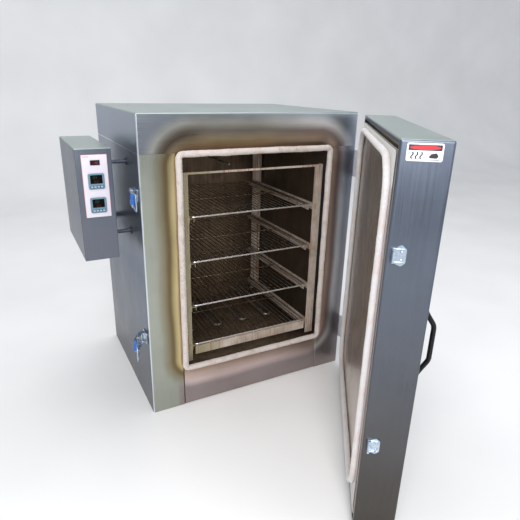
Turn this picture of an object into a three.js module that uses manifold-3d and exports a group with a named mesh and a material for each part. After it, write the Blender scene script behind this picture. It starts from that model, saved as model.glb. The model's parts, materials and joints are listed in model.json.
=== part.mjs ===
// Batch kiln: an insulated stainless cabinet with a side-hinged door, wire shelves on a lift-out rack,
// tubular heating elements and a control box on its left side.
// Millimetres, +Z up. The origin is the centre of the cabinet's base, and the door faces -Y.
import * as THREE from 'three';
import { mergeVertices } from 'three/addons/utils/BufferGeometryUtils.js';
import Module from 'manifold-3d';

const wasm = await Module();
wasm.setup();

// ---------- driving dimensions ----------
const GAP = 0.3; // left between pieces that touch
const SHEET = 2; // thickness of the casing sheets

const CABINET = { w: 790, d: 620, h: 1015, cap: 115.5 };
const CHAMBER = { w: 556, bottom: 149, top: 899, back: 221, wall: 1.5 };
const FRONT = -CABINET.d / 2;
const SIDE = CABINET.w / 2;
const SEAM = CABINET.h - CABINET.cap; // height of the joint between the lid and the sides
const RETURN = 20; // fold of the front sheets into the opening

const OPENING_ROPE = { size: 21, overlap: 8, corner: 16 };

const RACK = { front: -290, back: 200, half: 238, post: 33, top: 836, bottom: 162 };
const RUNNER = { reach: 18, above: 8, below: 17, sheet: 1.5, ledge: 3.5 };
const SHELF_LEVELS = [690, 534, 373, 222]; // centre of each shelf's frame wire, from the top down
const SHELF = { half: 228, front: -286, back: 187, frame: 6, fine: 3, pitch: 19 };
const BOTTOM_ANGLE = { half: 228, low: 187, high: 218.5, depth: 14 };

const ELEMENT = { count: 4, pitch: 114, tube: 10, spread: 32, z: 173, front: -100, back: 286 };
const PROBE = { x: -62, z: 842, front: -215, back: 290, tube: 9 };

const DOOR = { gap: 23, thick: 105, bottom: 8, top: 1009, flange: 14, openDegrees: 55.3 };
const DOOR_ROPE = { size: 18, inset: 45, low: 79, high: 966, corner: 85 };
const PIN = { x: SIDE + 17, y: FRONT - 41, r: 4 };
const HINGE = { levels: [835, 165], height: 96, knuckle: 8, plate: 3, leaf: 52 };

const LATCH_Y = -262;
const LATCH_PIVOT = { out: 13, rest: { upper: 165, lower: 141 } };
const LATCH_LEVELS = { upper: 774, lower: 284 };
const BAIL_SWING = { upper: -170, lower: -157 }; // turn of the bail on its lever, open
const BAIL = { wire: 4.5, half: 24, reach: 104.3 };
const KEEPER = { from: 10, to: 40, half: 23, lip: 16 };

const HANDLE = { low: 440, high: 624, inset: 74, standoff: 36, bar: 12 };

const BOX = { left: -553, right: -447, front: -197, back: 168, bottom: 557, top: 908, sheet: 1.5 };
const METER = { x: -497.5, levels: [810, 736], size: 48, bezel: 5, cut: 45, depth: 72 };
const BUTTON = { w: 7, h: 4.5, pitch: 9.6, drop: 16.5, stand: 1.6 };
const ROCKER = { x: -497, z: 866, w: 28, h: 15, tilt: 9 };

// ---------- shape helpers ----------
const rad = THREE.MathUtils.degToRad;
const HALF_TURN = Math.PI;

function toSolid(geometry) {
  const bare = geometry.index ? geometry.toNonIndexed() : geometry.clone();
  for (const name of Object.keys(bare.attributes)) if (name !== 'position') bare.deleteAttribute(name);
  const merged = mergeVertices(bare, 1e-4);
  return new wasm.Manifold(
    new wasm.Mesh({
      numProp: 3,
      vertProperties: new Float32Array(merged.attributes.position.array),
      triVerts: new Uint32Array(merged.index.array),
    }),
  );
}

function toGeometry(solid) {
  const mesh = solid.getMesh();
  const indexed = new THREE.BufferGeometry();
  indexed.setAttribute('position', new THREE.BufferAttribute(new Float32Array(mesh.vertProperties), 3));
  indexed.setIndex(new THREE.BufferAttribute(new Uint32Array(mesh.triVerts), 1));
  const flat = indexed.toNonIndexed();
  flat.computeVertexNormals();
  return flat;
}

// A box from its lowest to its highest corner.
function block(x0, x1, y0, y1, z0, z1) {
  const geometry = new THREE.BoxGeometry(x1 - x0, y1 - y0, z1 - z0);
  return toSolid(geometry.translate((x0 + x1) / 2, (y0 + y1) / 2, (z0 + z1) / 2));
}

// A cylinder about an axis 'x', 'y' or 'z' through a centre.
function rod(axis, radius, from, to, a, b, sides = 16) {
  const geometry = new THREE.CylinderGeometry(radius, radius, to - from, sides);
  const mid = (from + to) / 2;
  if (axis === 'x') return toSolid(geometry.rotateZ(HALF_TURN / 2).translate(mid, a, b));
  if (axis === 'z') return toSolid(geometry.rotateX(HALF_TURN / 2).translate(a, b, mid));
  return toSolid(geometry.translate(a, mid, b));
}

function join(pieces) {
  return pieces.reduce((whole, piece) => whole.add(piece));
}

function cut(whole, pieces) {
  return pieces.reduce((rest, piece) => rest.subtract(piece), whole);
}

// A plan outline (x, y) raised from z0 to z1.
function raise(points, z0, z1) {
  const shape = new THREE.Shape(points.map(([x, y]) => new THREE.Vector2(x, y)));
  const geometry = new THREE.ExtrudeGeometry(shape, { depth: z1 - z0, bevelEnabled: false });
  return toSolid(geometry.translate(0, 0, z0));
}

// The outline of a folded sheet: the given line, thickened to its left.
function folded(line, thickness) {
  const inner = line.map((point, i) => {
    const here = new THREE.Vector2(...point);
    const normals = [];
    if (i > 0) normals.push(leftOf(new THREE.Vector2(...line[i - 1]), here));
    if (i < line.length - 1) normals.push(leftOf(here, new THREE.Vector2(...line[i + 1])));
    const sum = normals.reduce((a, b) => a.clone().add(b));
    const scale = normals.length === 2 ? 2 / sum.lengthSq() : 1;
    return here.add(sum.multiplyScalar(scale * thickness)).toArray();
  });
  return [...line, ...inner.reverse()];
}

function leftOf(from, to) {
  const along = to.clone().sub(from).normalize();
  return new THREE.Vector2(-along.y, along.x);
}

// A rounded rectangle in the XZ plane as a shape in (x, z).
function roundedRect(Path, x0, x1, z0, z1, r) {
  const path = new Path();
  path.moveTo(x0 + r, z0);
  path.lineTo(x1 - r, z0);
  if (r > 0) path.absarc(x1 - r, z0 + r, r, -HALF_TURN / 2, 0, false);
  path.lineTo(x1, z1 - r);
  if (r > 0) path.absarc(x1 - r, z1 - r, r, 0, HALF_TURN / 2, false);
  path.lineTo(x0 + r, z1);
  if (r > 0) path.absarc(x0 + r, z1 - r, r, HALF_TURN / 2, HALF_TURN, false);
  path.lineTo(x0, z0 + r);
  if (r > 0) path.absarc(x0 + r, z0 + r, r, HALF_TURN, HALF_TURN * 1.5, false);
  return path;
}

// A ring standing in the XZ plane, from y to y + depth, with its edges bevelled by bevel.
function ring(outer, inner, y, depth, bevel = 0, curveSegments = 5) {
  const shape = roundedRect(THREE.Shape, ...outer);
  shape.holes.push(roundedRect(THREE.Path, ...inner));
  const geometry = new THREE.ExtrudeGeometry(shape, {
    depth: depth - 2 * bevel,
    bevelEnabled: bevel > 0,
    bevelThickness: bevel,
    bevelSize: bevel,
    bevelOffset: -bevel,
    bevelSegments: 1,
    curveSegments,
  });
  // (x, z, depth) to (x, y, z): the extrusion runs towards -Y, so it starts at y + depth
  return toSolid(geometry.rotateX(HALF_TURN / 2).translate(0, y + depth - bevel, 0));
}

// A curve that visits the given points and nothing between them, so that a sweep has one section at each.
class Stations extends THREE.Curve {
  constructor(points) {
    super();
    this.points = points.map((p) => new THREE.Vector3(...p));
  }
  getPoint(t) {
    const last = this.points.length - 1;
    const i = Math.min(Math.round(t * last), last);
    return this.points[i].clone();
  }
  getPointAt(u) {
    return this.getPoint(u);
  }
  getTangentAt(u) {
    const last = this.points.length - 1;
    const i = Math.min(Math.round(u * last), last);
    const before = this.points[Math.max(i - 1, 0)];
    const after = this.points[Math.min(i + 1, last)];
    const here = this.points[i];
    const incoming = i > 0 ? here.clone().sub(before).normalize() : new THREE.Vector3();
    const outgoing = i < last ? after.clone().sub(here).normalize() : new THREE.Vector3();
    return incoming.add(outgoing).normalize();
  }
}

// A round bar of the given radius through the points.
function bar(points, radius, sides = 8) {
  const section = new THREE.Shape();
  for (let i = 0; i < sides; i++) {
    const angle = (2 * HALF_TURN * (i + 0.5)) / sides;
    const [x, y] = [radius * Math.cos(angle), radius * Math.sin(angle)];
    if (i === 0) section.moveTo(x, y);
    else section.lineTo(x, y);
  }
  section.closePath();
  const path = new Stations(points);
  return toSolid(new THREE.ExtrudeGeometry(section, { steps: points.length - 1, extrudePath: path }));
}

// Points on an arc in the XY plane, from one angle to another, in degrees.
function arc(x, y, z, r, from, to, steps) {
  return Array.from({ length: steps + 1 }, (_, i) => {
    const angle = rad(from + ((to - from) * i) / steps);
    return [x + r * Math.cos(angle), y + r * Math.sin(angle), z];
  });
}

// ---------- materials ----------
const finish = {
  stainless: [0x9a9ca4, 0.38, 0.9],
  liner: [0x4a4238, 0.6, 0.7],
  rope: [0xe6e0dc, 0.95, 0],
  insulation: [0xd8d2b8, 1, 0],
  wire: [0xb8b4ae, 0.35, 0.9],
  rackSteel: [0xa8a096, 0.45, 0.8],
  element: [0x6c6a66, 0.5, 0.8],
  zinc: [0xd6dae2, 0.25, 0.95],
  black: [0x151515, 0.5, 0],
  blue: [0x2458b8, 0.4, 0],
  meter: [0x5c6674, 0.55, 0],
  switchRed: [0x4a1414, 0.4, 0],
};

function piece(name, solid, [color, roughness, metalness]) {
  const material = new THREE.MeshStandardMaterial({ color, roughness, metalness });
  const mesh = new THREE.Mesh(toGeometry(solid), material);
  mesh.name = name;
  return mesh;
}

// ---------- cabinet ----------
const half = CHAMBER.w / 2;

function sidePanel(side) {
  // plan view: fold at the opening, front stile, side wall, rear fold
  const line = [
    [-half - GAP, FRONT + RETURN],
    [-half - GAP, FRONT],
    [-SIDE, FRONT],
    [-SIDE, -FRONT],
    [-SIDE + 30, -FRONT],
  ].map(([x, y]) => [side * -x, y]);
  const outline = folded(side < 0 ? line : line.reverse(), -SHEET);
  return raise(outline, 0, SEAM - GAP);
}

function frontBottomRail() {
  const w = half - GAP;
  return join([
    block(-w, w, FRONT, FRONT + SHEET, 0, CHAMBER.bottom),
    block(-w, w, FRONT, FRONT + RETURN, CHAMBER.bottom - SHEET, CHAMBER.bottom),
    block(-w, w, FRONT, FRONT + 30, 0, SHEET),
  ]);
}

function basePan() {
  const [x, y] = [SIDE - SHEET - 0.5, -FRONT - SHEET - 3];
  const front = FRONT + 31;
  return cut(block(-x, x, front, y, 0, 28), [
    block(-x + SHEET, x - SHEET, front + SHEET, y - SHEET, SHEET, 40),
  ]);
}

function topCap() {
  const shell = cut(block(-SIDE, SIDE, FRONT, -FRONT, SEAM, CABINET.h), [
    block(-SIDE + SHEET, SIDE - SHEET, FRONT + SHEET, -FRONT - SHEET, SEAM - 1, CABINET.h - SHEET),
  ]);
  return shell.add(block(-half, half, FRONT + 1, FRONT + RETURN, SEAM, SEAM + SHEET));
}

function backPanel() {
  const x = SIDE - SHEET - 1;
  return block(-x, x, -FRONT - SHEET - GAP - SHEET, -FRONT - SHEET - GAP, 3, SEAM - 2);
}

function elementX(index) {
  return (index - (ELEMENT.count - 1) / 2) * ELEMENT.pitch;
}

// Holes through the chamber's rear wall for the elements' legs and the temperature probe.
function rearHoles(clearance) {
  const from = CHAMBER.back - 5;
  const to = -FRONT + 5;
  const holes = [rod('y', PROBE.tube / 2 + clearance, from, to, PROBE.x, PROBE.z, 10)];
  for (let i = 0; i < ELEMENT.count; i++) {
    for (const side of [-1, 1]) {
      const x = elementX(i) + (side * ELEMENT.spread) / 2;
      holes.push(rod('y', ELEMENT.tube / 2 + clearance, from, to, x, ELEMENT.z, 10));
    }
  }
  return holes;
}

function chamberLiner() {
  const { wall, bottom, top, back } = CHAMBER;
  const front = FRONT + RETURN + 0.5;
  const body = block(-half - wall, half + wall, front, back + wall, bottom - wall, top + wall);
  const lip = block(-half - 10, half + 10, front, front + wall, bottom - 10, top + 10);
  const inside = block(-half, half, front - 1, back, bottom, top);
  return cut(body.add(lip), [inside, ...rearHoles(0.6)]);
}

function cabinetInsulation() {
  const front = FRONT + RETURN + 3;
  const back = -FRONT - 2 * SHEET - 2;
  const margin = CHAMBER.wall + 1;
  const body = block(-SIDE + 5, SIDE - 5, front, back, 31, CABINET.h - SHEET - 2);
  const hollow = block(
    -half - margin, half + margin, front - 1, CHAMBER.back + margin,
    CHAMBER.bottom - margin, CHAMBER.top + margin,
  );
  return cut(body, [hollow, ...rearHoles(1)]);
}

function openingRope() {
  const { size, overlap, corner } = OPENING_ROPE;
  const [x, low, high] = [half + overlap, CHAMBER.bottom - 4, CHAMBER.top + 9];
  const outer = [-x, x, low, high, corner];
  const inner = [-x + size, x - size, low + size, high - size, 1];
  return ring(outer, inner, FRONT - GAP - size, size, size * 0.29, 3);
}

// ---------- rack and shelves ----------
function rackSide(side) {
  const { front, back, post, top, bottom } = RACK;
  const inner = RACK.half;
  const [near, far] = [front, back];
  const pieces = [];
  const place = (x0, x1, ...rest) => pieces.push(side < 0 ? block(-x1, -x0, ...rest) : block(x0, x1, ...rest));
  place(inner, inner + post, near, near + 2, bottom, top); // front post, flange facing the door
  place(inner + post - 2, inner + post, near, near + 22, bottom, top);
  place(inner, inner + post, far - 2, far, bottom, top); // rear post
  place(inner + post - 2, inner + post, far - 22, far, bottom, top);
  place(inner + post - 2, inner + post, near, far, bottom, bottom + 12); // lower tie
  const { reach, above, below, sheet, ledge } = RUNNER;
  const face = inner - 0.5;
  for (const level of SHELF_LEVELS) {
    place(face - sheet, face, near - 1.5, far, level - below, level + above);
    place(face - reach, face, near + 1, far, level - ledge - sheet, level - ledge);
    place(face - reach, face - reach + sheet, near + 1, far, level - below, level - ledge);
    place(face - sheet, inner + 12, near - 1.5, near + 0.5, level - below, level + above - 5);
    place(face - sheet, inner + 12, far - 1, far + 1, level - below, level + above - 5);
  }
  const chamfer = raise([[0, 0], [13, 0], [0, -16]], near - 3, near + 2.5);
  const turned = side < 0 ? chamfer.rotate([90, 0, 0]).mirror([1, 0, 0]) : chamfer.rotate([90, 0, 0]);
  return cut(join(pieces), [turned.translate([side * inner, 0, top])]);
}

function rackTopBar() {
  const x = RACK.half + RACK.post - 4;
  return block(-x, x, RACK.front + 2 + GAP, RACK.front + 4.8, RACK.top - 7.5, RACK.top - 0.5);
}

function rackBottomAngle() {
  const { half: x, low, high, depth } = BOTTOM_ANGLE;
  const y = RACK.front - 4;
  return join([
    block(-x, x, y, y + 1.5, low, high),
    block(-x + 10, x - 10, y, y + depth, high - 1.5, high),
    block(-x, -x + 12, y, y + 3.7, low, high),
    block(x - 12, x, y, y + 3.7, low, high),
  ]);
}

function wireShelf(level) {
  const { half: x, front, back, frame, fine, pitch } = SHELF;
  const r = frame / 2;
  const wires = [-x, x].map((at) => block(at - r, at + r, front - r, back + r, level - r, level + r));
  for (const y of [front, (front + back) / 2, back]) {
    wires.push(block(-x, x, y - r, y + r, level - r, level + r));
  }
  const count = Math.floor((2 * x - pitch) / pitch);
  const start = (-(count - 1) * pitch) / 2;
  for (let i = 0; i < count; i++) {
    const at = start + i * pitch;
    wires.push(block(at - fine / 2, at + fine / 2, front - r, back + r, level + r - 1, level + r - 1 + fine));
  }
  return join(wires);
}

// ---------- heating elements and temperature probe ----------
function heatingElement(index) {
  const { tube, spread, z, front, back } = ELEMENT;
  const x = elementX(index);
  const r = spread / 2;
  const bendCentre = front + r;
  const bend = arc(x, bendCentre, z, r, 180, 360, 8);
  return bar([[x - r, back, z], ...bend, [x + r, back, z]], tube / 2, 10);
}

function temperatureProbe() {
  const { x, z, front, back, tube } = PROBE;
  return bar([[x, front, z], [x, front + 3, z], [x, back, z]], tube / 2, 10);
}

// ---------- door, modelled closed ----------
const doorInner = FRONT - DOOR.gap;
const doorOuter = doorInner - DOOR.thick;

function doorShell() {
  const { bottom, top, flange } = DOOR;
  const outside = block(-SIDE, SIDE, doorOuter, doorInner, bottom, top);
  const inside = block(-SIDE + SHEET, SIDE - SHEET, doorOuter + SHEET, doorInner - SHEET, bottom + SHEET, top - SHEET);
  const mouth = block(-SIDE + flange, SIDE - flange, doorInner - 5, doorInner + 1, bottom + flange, top - flange);
  return cut(outside, [inside, mouth]);
}

const panelEdge = 23; // from the door's edge to the edge of its inner panel

function doorInnerPanel() {
  const { bottom, top } = DOOR;
  const x = SIDE - panelEdge;
  const [low, high] = [bottom + panelEdge, top - panelEdge];
  const face = doorInner - 0.5;
  return cut(block(-x, x, face - 16, face, low, high), [
    block(-x + SHEET, x - SHEET, face - 17, face - SHEET, low + SHEET, high - SHEET),
  ]);
}

function doorInsulation() {
  const { bottom, top } = DOOR;
  const inset = SHEET + 1;
  return block(-SIDE + inset, SIDE - inset, doorOuter + inset, doorInner - 18, bottom + inset, top - inset);
}

// A round rope with a flat tail along its outer side, by which it is held to the inner panel.
function doorRope() {
  const { size, inset, low, high, corner } = DOOR_ROPE;
  const x = SIDE - inset + size / 2;
  const outer = [-x, x, low - size / 2, high + size / 2, corner + size / 2];
  const inner = [-x + size, x - size, low + size / 2, high - size / 2, corner - size / 2];
  const face = doorInner - 0.5 + GAP;
  const rope = ring(outer, inner, face, size, size * 0.29, 5);
  const edge = SIDE - 25;
  const tail = [-edge, edge, DOOR.bottom + 25, DOOR.top - 25, 0];
  const under = [-x + size / 2, x - size / 2, low, high, corner];
  return rope.add(ring(tail, under, face, 1.6, 0, 5));
}

function hingeOutline(direction) {
  // plan view about the pin: knuckle, strap and leaf; direction +1 runs back to the cabinet, -1 to the door
  const { knuckle, plate, leaf } = HINGE;
  const wall = SIDE + GAP - PIN.x;
  const bend = direction > 0 ? FRONT - PIN.y + 6 : doorInner - 30 - PIN.y;
  const round = arc(0, 0, 0, knuckle, direction > 0 ? -90 : 90, direction > 0 ? 90 : 270, 8);
  const tangentIn = direction > 0 ? [-knuckle, 2] : [-knuckle, -2];
  const points = direction > 0
    ? [...round.map(([x, y]) => [x, y]), [-knuckle + 4, knuckle + 8], [wall + plate, bend],
      [wall + plate, bend + leaf], [wall, bend + leaf], [wall, bend - 2], tangentIn]
    : [[knuckle * 0.7, -knuckle * 0.7], ...arc(0, 0, 0, knuckle, -20, 150, 8).map(([x, y]) => [x, y]),
      tangentIn, [wall, bend + 6], [wall, bend - leaf], [wall + plate, bend - leaf],
      [wall + plate, bend - 2], [-1, -knuckle - 3]];
  return points.map(([x, y]) => [x + PIN.x, y + PIN.y]);
}

function hingeLeaf(direction, level) {
  const { height } = HINGE;
  const [z0, z1] = [level - height / 2, level + height / 2];
  const third = height / 3;
  const whole = raise(hingeOutline(direction), z0, z1);
  const reach = 12;
  const around = (a, b) => block(PIN.x - reach, PIN.x + reach, PIN.y - reach, PIN.y + reach, a, b);
  if (direction > 0) {
    // the cabinet's leaf holds the pin in its lower and upper knuckles
    const gap = around(z0 + third, z1 - third);
    return whole.subtract(gap).add(rod('z', PIN.r, z0 - 3, z1 + 3, PIN.x, PIN.y, 16));
  }
  const bore = rod('z', PIN.r + 0.5, z0 - 5, z1 + 5, PIN.x, PIN.y, 16);
  return cut(whole, [around(z0 - 1, z0 + third + 0.6), around(z1 - third - 0.6, z1 + 1), bore]);
}

function keeper(level) {
  const { from, to, half: h, lip } = KEEPER;
  const x = -SIDE - GAP;
  const y = doorInner - from;
  const plate = block(x - 2.5, x, doorInner - to, y, level - h, level + h);
  const hook = block(x - lip, x, y - 2.5, y, level - 19, level + 19);
  return plate.add(hook);
}

function doorHandle() {
  const { low, high, inset, standoff, bar: size } = HANDLE;
  const x = -SIDE + inset;
  const y = doorOuter - GAP;
  // how far out the bow stands, and how far in from its end, along one leg
  const leg = [[0, 0], [6, 0], [13, 7], [29, 34], [34, 43], [standoff, 53]];
  const path = [
    ...leg.map(([out, up]) => [x, y - out, low + up]),
    ...leg.map(([out, down]) => [x, y - out, high - down * 0.8]).reverse(),
  ];
  return bar(path, size / 2, 10);
}

// ---------- draw latches, in a local frame: x out of the cabinet's side, y towards the door ----------
const lever = { arm: 62, pin: 18, offset: -3, inner: 18, thick: 2.5 };

function latchBase() {
  const ear = (z) => join([
    block(2, 13, -8, 8, z, z + 3),
    rod('z', 8, z, z + 3, LATCH_PIVOT.out, 0, 16),
  ]);
  const plate = block(GAP, 3, -22, 24, -20, 20);
  const pin = rod('z', 2.5, -21.2, 21.2, LATCH_PIVOT.out, 0, 12);
  return join([plate, ear(14), ear(-17), pin]);
}

function latchLever() {
  // closed, about its own pivot: the arms run away from the door
  const arm = (z) => raise([[-5, 6], [5, 6], [7, -lever.arm], [0, -lever.arm], [-7, -24], [-7, -10]], z, z + lever.thick);
  const pieces = [arm(lever.inner), arm(-lever.inner - lever.thick)];
  const z = lever.inner + lever.thick;
  pieces.push(rod('z', 3, -z, z, 4, -lever.arm + 3, 10));
  const holes = [
    rod('z', 3.1, -z - 1, z + 1, 0, 0, 12),
    rod('z', BAIL.wire / 2 + 0.5, -z - 1, -lever.inner + 1, lever.offset, -lever.pin, 10),
    rod('z', BAIL.wire / 2 + 0.5, lever.inner - 1, z + 1, lever.offset, -lever.pin, 10),
  ];
  return cut(join(pieces), holes);
}

function latchGrip() {
  const h = lever.inner - 0.6;
  const at = [4, -lever.arm + 3];
  return rod('z', 6.5, -h, h, ...at, 14).subtract(rod('z', 3.4, -h - 1, h + 1, ...at, 10));
}

function latchBail() {
  // closed, about the pins that join it to the lever: the loop reaches towards the door
  const { wire, half: z, reach } = BAIL;
  const r = 5;
  const points = [
    [0, 0, lever.inner - 1.5], [0, 0, z - 1.5], [0, 1.5, z],
    [0, reach - r, z], [0, reach - 1.5, z - 1.5], [0, reach, z - r],
    [0, reach, -z + r], [0, reach - 1.5, -z + 1.5], [0, reach - r, -z],
    [0, 1.5, -z], [0, 0, -z + 1.5], [0, 0, -lever.inner + 1.5],
  ];
  return bar(points, wire / 2, 8);
}

function latch(which) {
  const frame = new THREE.Group();
  frame.position.set(-SIDE, LATCH_Y, LATCH_LEVELS[which]);
  frame.rotation.z = HALF_TURN;
  frame.add(piece(`${which}_latch_base`, latchBase(), finish.zinc));
  const arm = new THREE.Group();
  arm.position.x = LATCH_PIVOT.out;
  arm.rotation.z = rad(LATCH_PIVOT.rest[which]);
  arm.add(piece(`${which}_latch_lever`, latchLever(), finish.zinc));
  arm.add(piece(`${which}_latch_grip`, latchGrip(), finish.blue));
  const loop = piece(`${which}_latch_bail`, latchBail(), finish.zinc);
  loop.position.set(lever.offset, -lever.pin, 0);
  loop.rotation.z = rad(BAIL_SWING[which]);
  arm.add(loop);
  frame.add(arm);
  return frame;
}

// ---------- control box ----------
function boxShell() {
  const { left, right, front, back, bottom, top, sheet } = BOX;
  const outside = block(left, right, front + 3, back, bottom, top);
  return cut(outside, [
    block(left + sheet, right - sheet, front, back - sheet, bottom + sheet, top - sheet),
    rod('x', 11.5, right - 5, right + 5, back - 60, 620, 16),
  ]);
}

function boxCover() {
  const { left, right, front, bottom, top, sheet } = BOX;
  const lip = 14;
  const inset = sheet + 0.4;
  const plate = block(left, right, front, front + 2.6, bottom, top);
  const skirt = block(left + inset, right - inset, front + 2, front + lip, bottom + inset, top - inset);
  const hollow = block(
    left + inset + sheet, right - inset - sheet, front + 2.6, front + lip + 1,
    bottom + inset + sheet, top - inset - sheet,
  );
  const holes = METER.levels.map((z) => {
    const c = METER.cut / 2;
    return block(METER.x - c, METER.x + c, front - 1, front + 4, z - c, z + c);
  });
  const slot = block(
    ROCKER.x - ROCKER.w / 2 + 2, ROCKER.x + ROCKER.w / 2 - 2, front - 1, front + 4,
    ROCKER.z - ROCKER.h / 2 + 1.5, ROCKER.z + ROCKER.h / 2 - 1.5,
  );
  return cut(plate.add(skirt), [hollow, ...holes, slot]);
}

// A panel controller: a square bezel with a sunk window, and a body behind the panel.
function controller(z) {
  const { x, size, bezel, cut: opening, depth } = METER;
  const s = size / 2;
  const y = BOX.front - GAP;
  const body = opening / 2 - 0.6;
  const pockets = [block(x - s + 6, x + s - 6, y - bezel - 1, y - bezel + 1.2, z - 8, z + s - 6)];
  for (let i = 0; i < 4; i++) {
    const at = x + (i - 1.5) * BUTTON.pitch;
    const [w, h] = [BUTTON.w / 2 + 0.4, BUTTON.h / 2 + 0.4];
    pockets.push(block(at - w, at + w, y - bezel - 1, y - 1, z - BUTTON.drop - h, z - BUTTON.drop + h));
  }
  return cut(join([
    block(x - s, x + s, y - bezel, y, z - s, z + s),
    block(x - body, x + body, y - 1, y + depth, z - body, z + body),
  ]), pockets);
}

function button(index, z) {
  const at = METER.x + (index - 1.5) * BUTTON.pitch;
  const y = BOX.front - GAP - METER.bezel;
  const [w, h] = [BUTTON.w / 2, BUTTON.h / 2];
  return block(at - w, at + w, y - BUTTON.stand, y + 2.2, z - BUTTON.drop - h, z - BUTTON.drop + h);
}

function rockerFrame() {
  const { x, z, w, h } = ROCKER;
  const y = BOX.front - GAP;
  const [a, b] = [w / 2, h / 2];
  return cut(join([
    block(x - a, x + a, y - 2.4, y, z - b, z + b),
    block(x - a + 2.6, x + a - 2.6, y - 1, y + 20, z - b + 2, z + b - 2),
  ]), [block(x - a + 3.6, x + a - 3.6, y - 3, y + 14, z - b + 3, z + b - 3)]);
}

function rockerPaddle() {
  // a shallow V in plan view, rocking about an upright pin
  const w = ROCKER.w / 2 - 4.4;
  const outline = [[-w, -2.6], [0, -0.6], [w, -2.6], [w - 1.5, 4], [0, 6], [-w + 1.5, 4]];
  const depth = ROCKER.h - 7.6;
  return raise(outline, -depth / 2, depth / 2);
}

function standoff(z) {
  const y = BOX.front + 40;
  return join([
    rod('x', 6, BOX.right + GAP, -SIDE - GAP, y, z, 12),
    rod('x', 12, BOX.right + GAP, BOX.right + 3, y, z, 16),
    rod('x', 12, -SIDE - 3, -SIDE - GAP, y, z, 16),
  ]);
}

function conduit() {
  const [y, z] = [BOX.back - 60, 620];
  const outer = join([
    rod('x', 10.5, BOX.right - 12, -SIDE - GAP, y, z, 16),
    rod('x', 16, BOX.right + GAP, BOX.right + 8, y, z, 6),
    rod('x', 16, -SIDE - 8, -SIDE - GAP, y, z, 6),
  ]);
  return outer.subtract(rod('x', 8.5, BOX.right - 20, -SIDE + 5, y, z, 16));
}

function powerRelay() {
  const x = BOX.left + BOX.sheet + GAP;
  return join([
    block(x, x + 12, -60, 60, 590, 680),
    block(x + 12, x + 38, -24, 24, 600, 660),
  ]);
}

// ---------- assembly ----------
const kiln = new THREE.Group();

kiln.add(
  piece('base_pan', basePan(), finish.stainless),
  piece('left_side_panel', sidePanel(-1), finish.stainless),
  piece('right_side_panel', sidePanel(1), finish.stainless),
  piece('front_bottom_rail', frontBottomRail(), finish.stainless),
  piece('top_cap', topCap(), finish.stainless),
  piece('back_panel', backPanel(), finish.stainless),
  piece('chamber_liner', chamberLiner(), finish.liner),
  piece('cabinet_insulation', cabinetInsulation(), finish.insulation),
  piece('opening_rope_gasket', openingRope(), finish.rope),
  piece('rack_side_left', rackSide(-1), finish.rackSteel),
  piece('rack_side_right', rackSide(1), finish.rackSteel),
  piece('rack_top_bar', rackTopBar(), finish.rackSteel),
  piece('rack_bottom_angle', rackBottomAngle(), finish.rackSteel),
  piece('temperature_probe', temperatureProbe(), finish.element),
);
SHELF_LEVELS.forEach((level, i) => kiln.add(piece(`wire_shelf_${i + 1}`, wireShelf(level), finish.wire)));
for (let i = 0; i < ELEMENT.count; i++) {
  kiln.add(piece(`heating_element_${i + 1}`, heatingElement(i), finish.element));
}

// the door turns about its hinge pins, and is stored open
const door = new THREE.Group();
door.position.set(PIN.x, PIN.y, 0);
door.rotation.z = rad(DOOR.openDegrees);
const doorParts = new THREE.Group();
doorParts.position.set(-PIN.x, -PIN.y, 0);
doorParts.add(
  piece('door_outer_shell', doorShell(), finish.stainless),
  piece('door_inner_panel', doorInnerPanel(), finish.stainless),
  piece('door_insulation', doorInsulation(), finish.insulation),
  piece('door_rope_gasket', doorRope(), finish.rope),
  piece('door_handle', doorHandle(), finish.black),
  piece('upper_keeper', keeper(LATCH_LEVELS.upper), finish.zinc),
  piece('lower_keeper', keeper(LATCH_LEVELS.lower), finish.zinc),
);
HINGE.levels.forEach((level, i) => {
  const name = ['upper', 'lower'][i];
  kiln.add(piece(`${name}_hinge_cabinet_leaf`, hingeLeaf(1, level), finish.stainless));
  doorParts.add(piece(`${name}_hinge_door_leaf`, hingeLeaf(-1, level), finish.stainless));
});
door.add(doorParts);
kiln.add(door, latch('upper'), latch('lower'));

kiln.add(
  piece('control_box_shell', boxShell(), finish.stainless),
  piece('control_box_cover', boxCover(), finish.stainless),
  piece('rocker_frame', rockerFrame(), finish.black),
  piece('standoff_upper', standoff(860), finish.stainless),
  piece('standoff_lower', standoff(632), finish.stainless),
  piece('wiring_conduit', conduit(), finish.zinc),
  piece('power_relay', powerRelay(), finish.black),
);
METER.levels.forEach((z, i) => {
  const name = ['upper', 'lower'][i];
  kiln.add(piece(`${name}_controller`, controller(z), finish.meter));
  for (let b = 0; b < 4; b++) kiln.add(piece(`${name}_controller_key_${b + 1}`, button(b, z), finish.meter));
});

// the paddle rocks left and right about an upright pin
const rockerPivot = new THREE.Group();
rockerPivot.position.set(ROCKER.x, BOX.front - GAP - 1.4, ROCKER.z);
const paddle = piece('rocker_paddle', rockerPaddle(), finish.switchRed);
paddle.rotation.z = rad(ROCKER.tilt);
rockerPivot.add(paddle);
kiln.add(rockerPivot);

export default kiln;
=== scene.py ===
"""The looks of a batch kiln: an insulated stainless cabinet with a side-hinged door, wire shelves and a
control box. Metres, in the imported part's own frame: +Z up, the door faces -Y, and the origin is the centre of
the base. Door pieces are made closed and latch pieces about their own pins, and a matrix puts each one at
rest."""

import json
import math

import bmesh
import bpy
from mathutils import Matrix, Vector, noise


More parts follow.
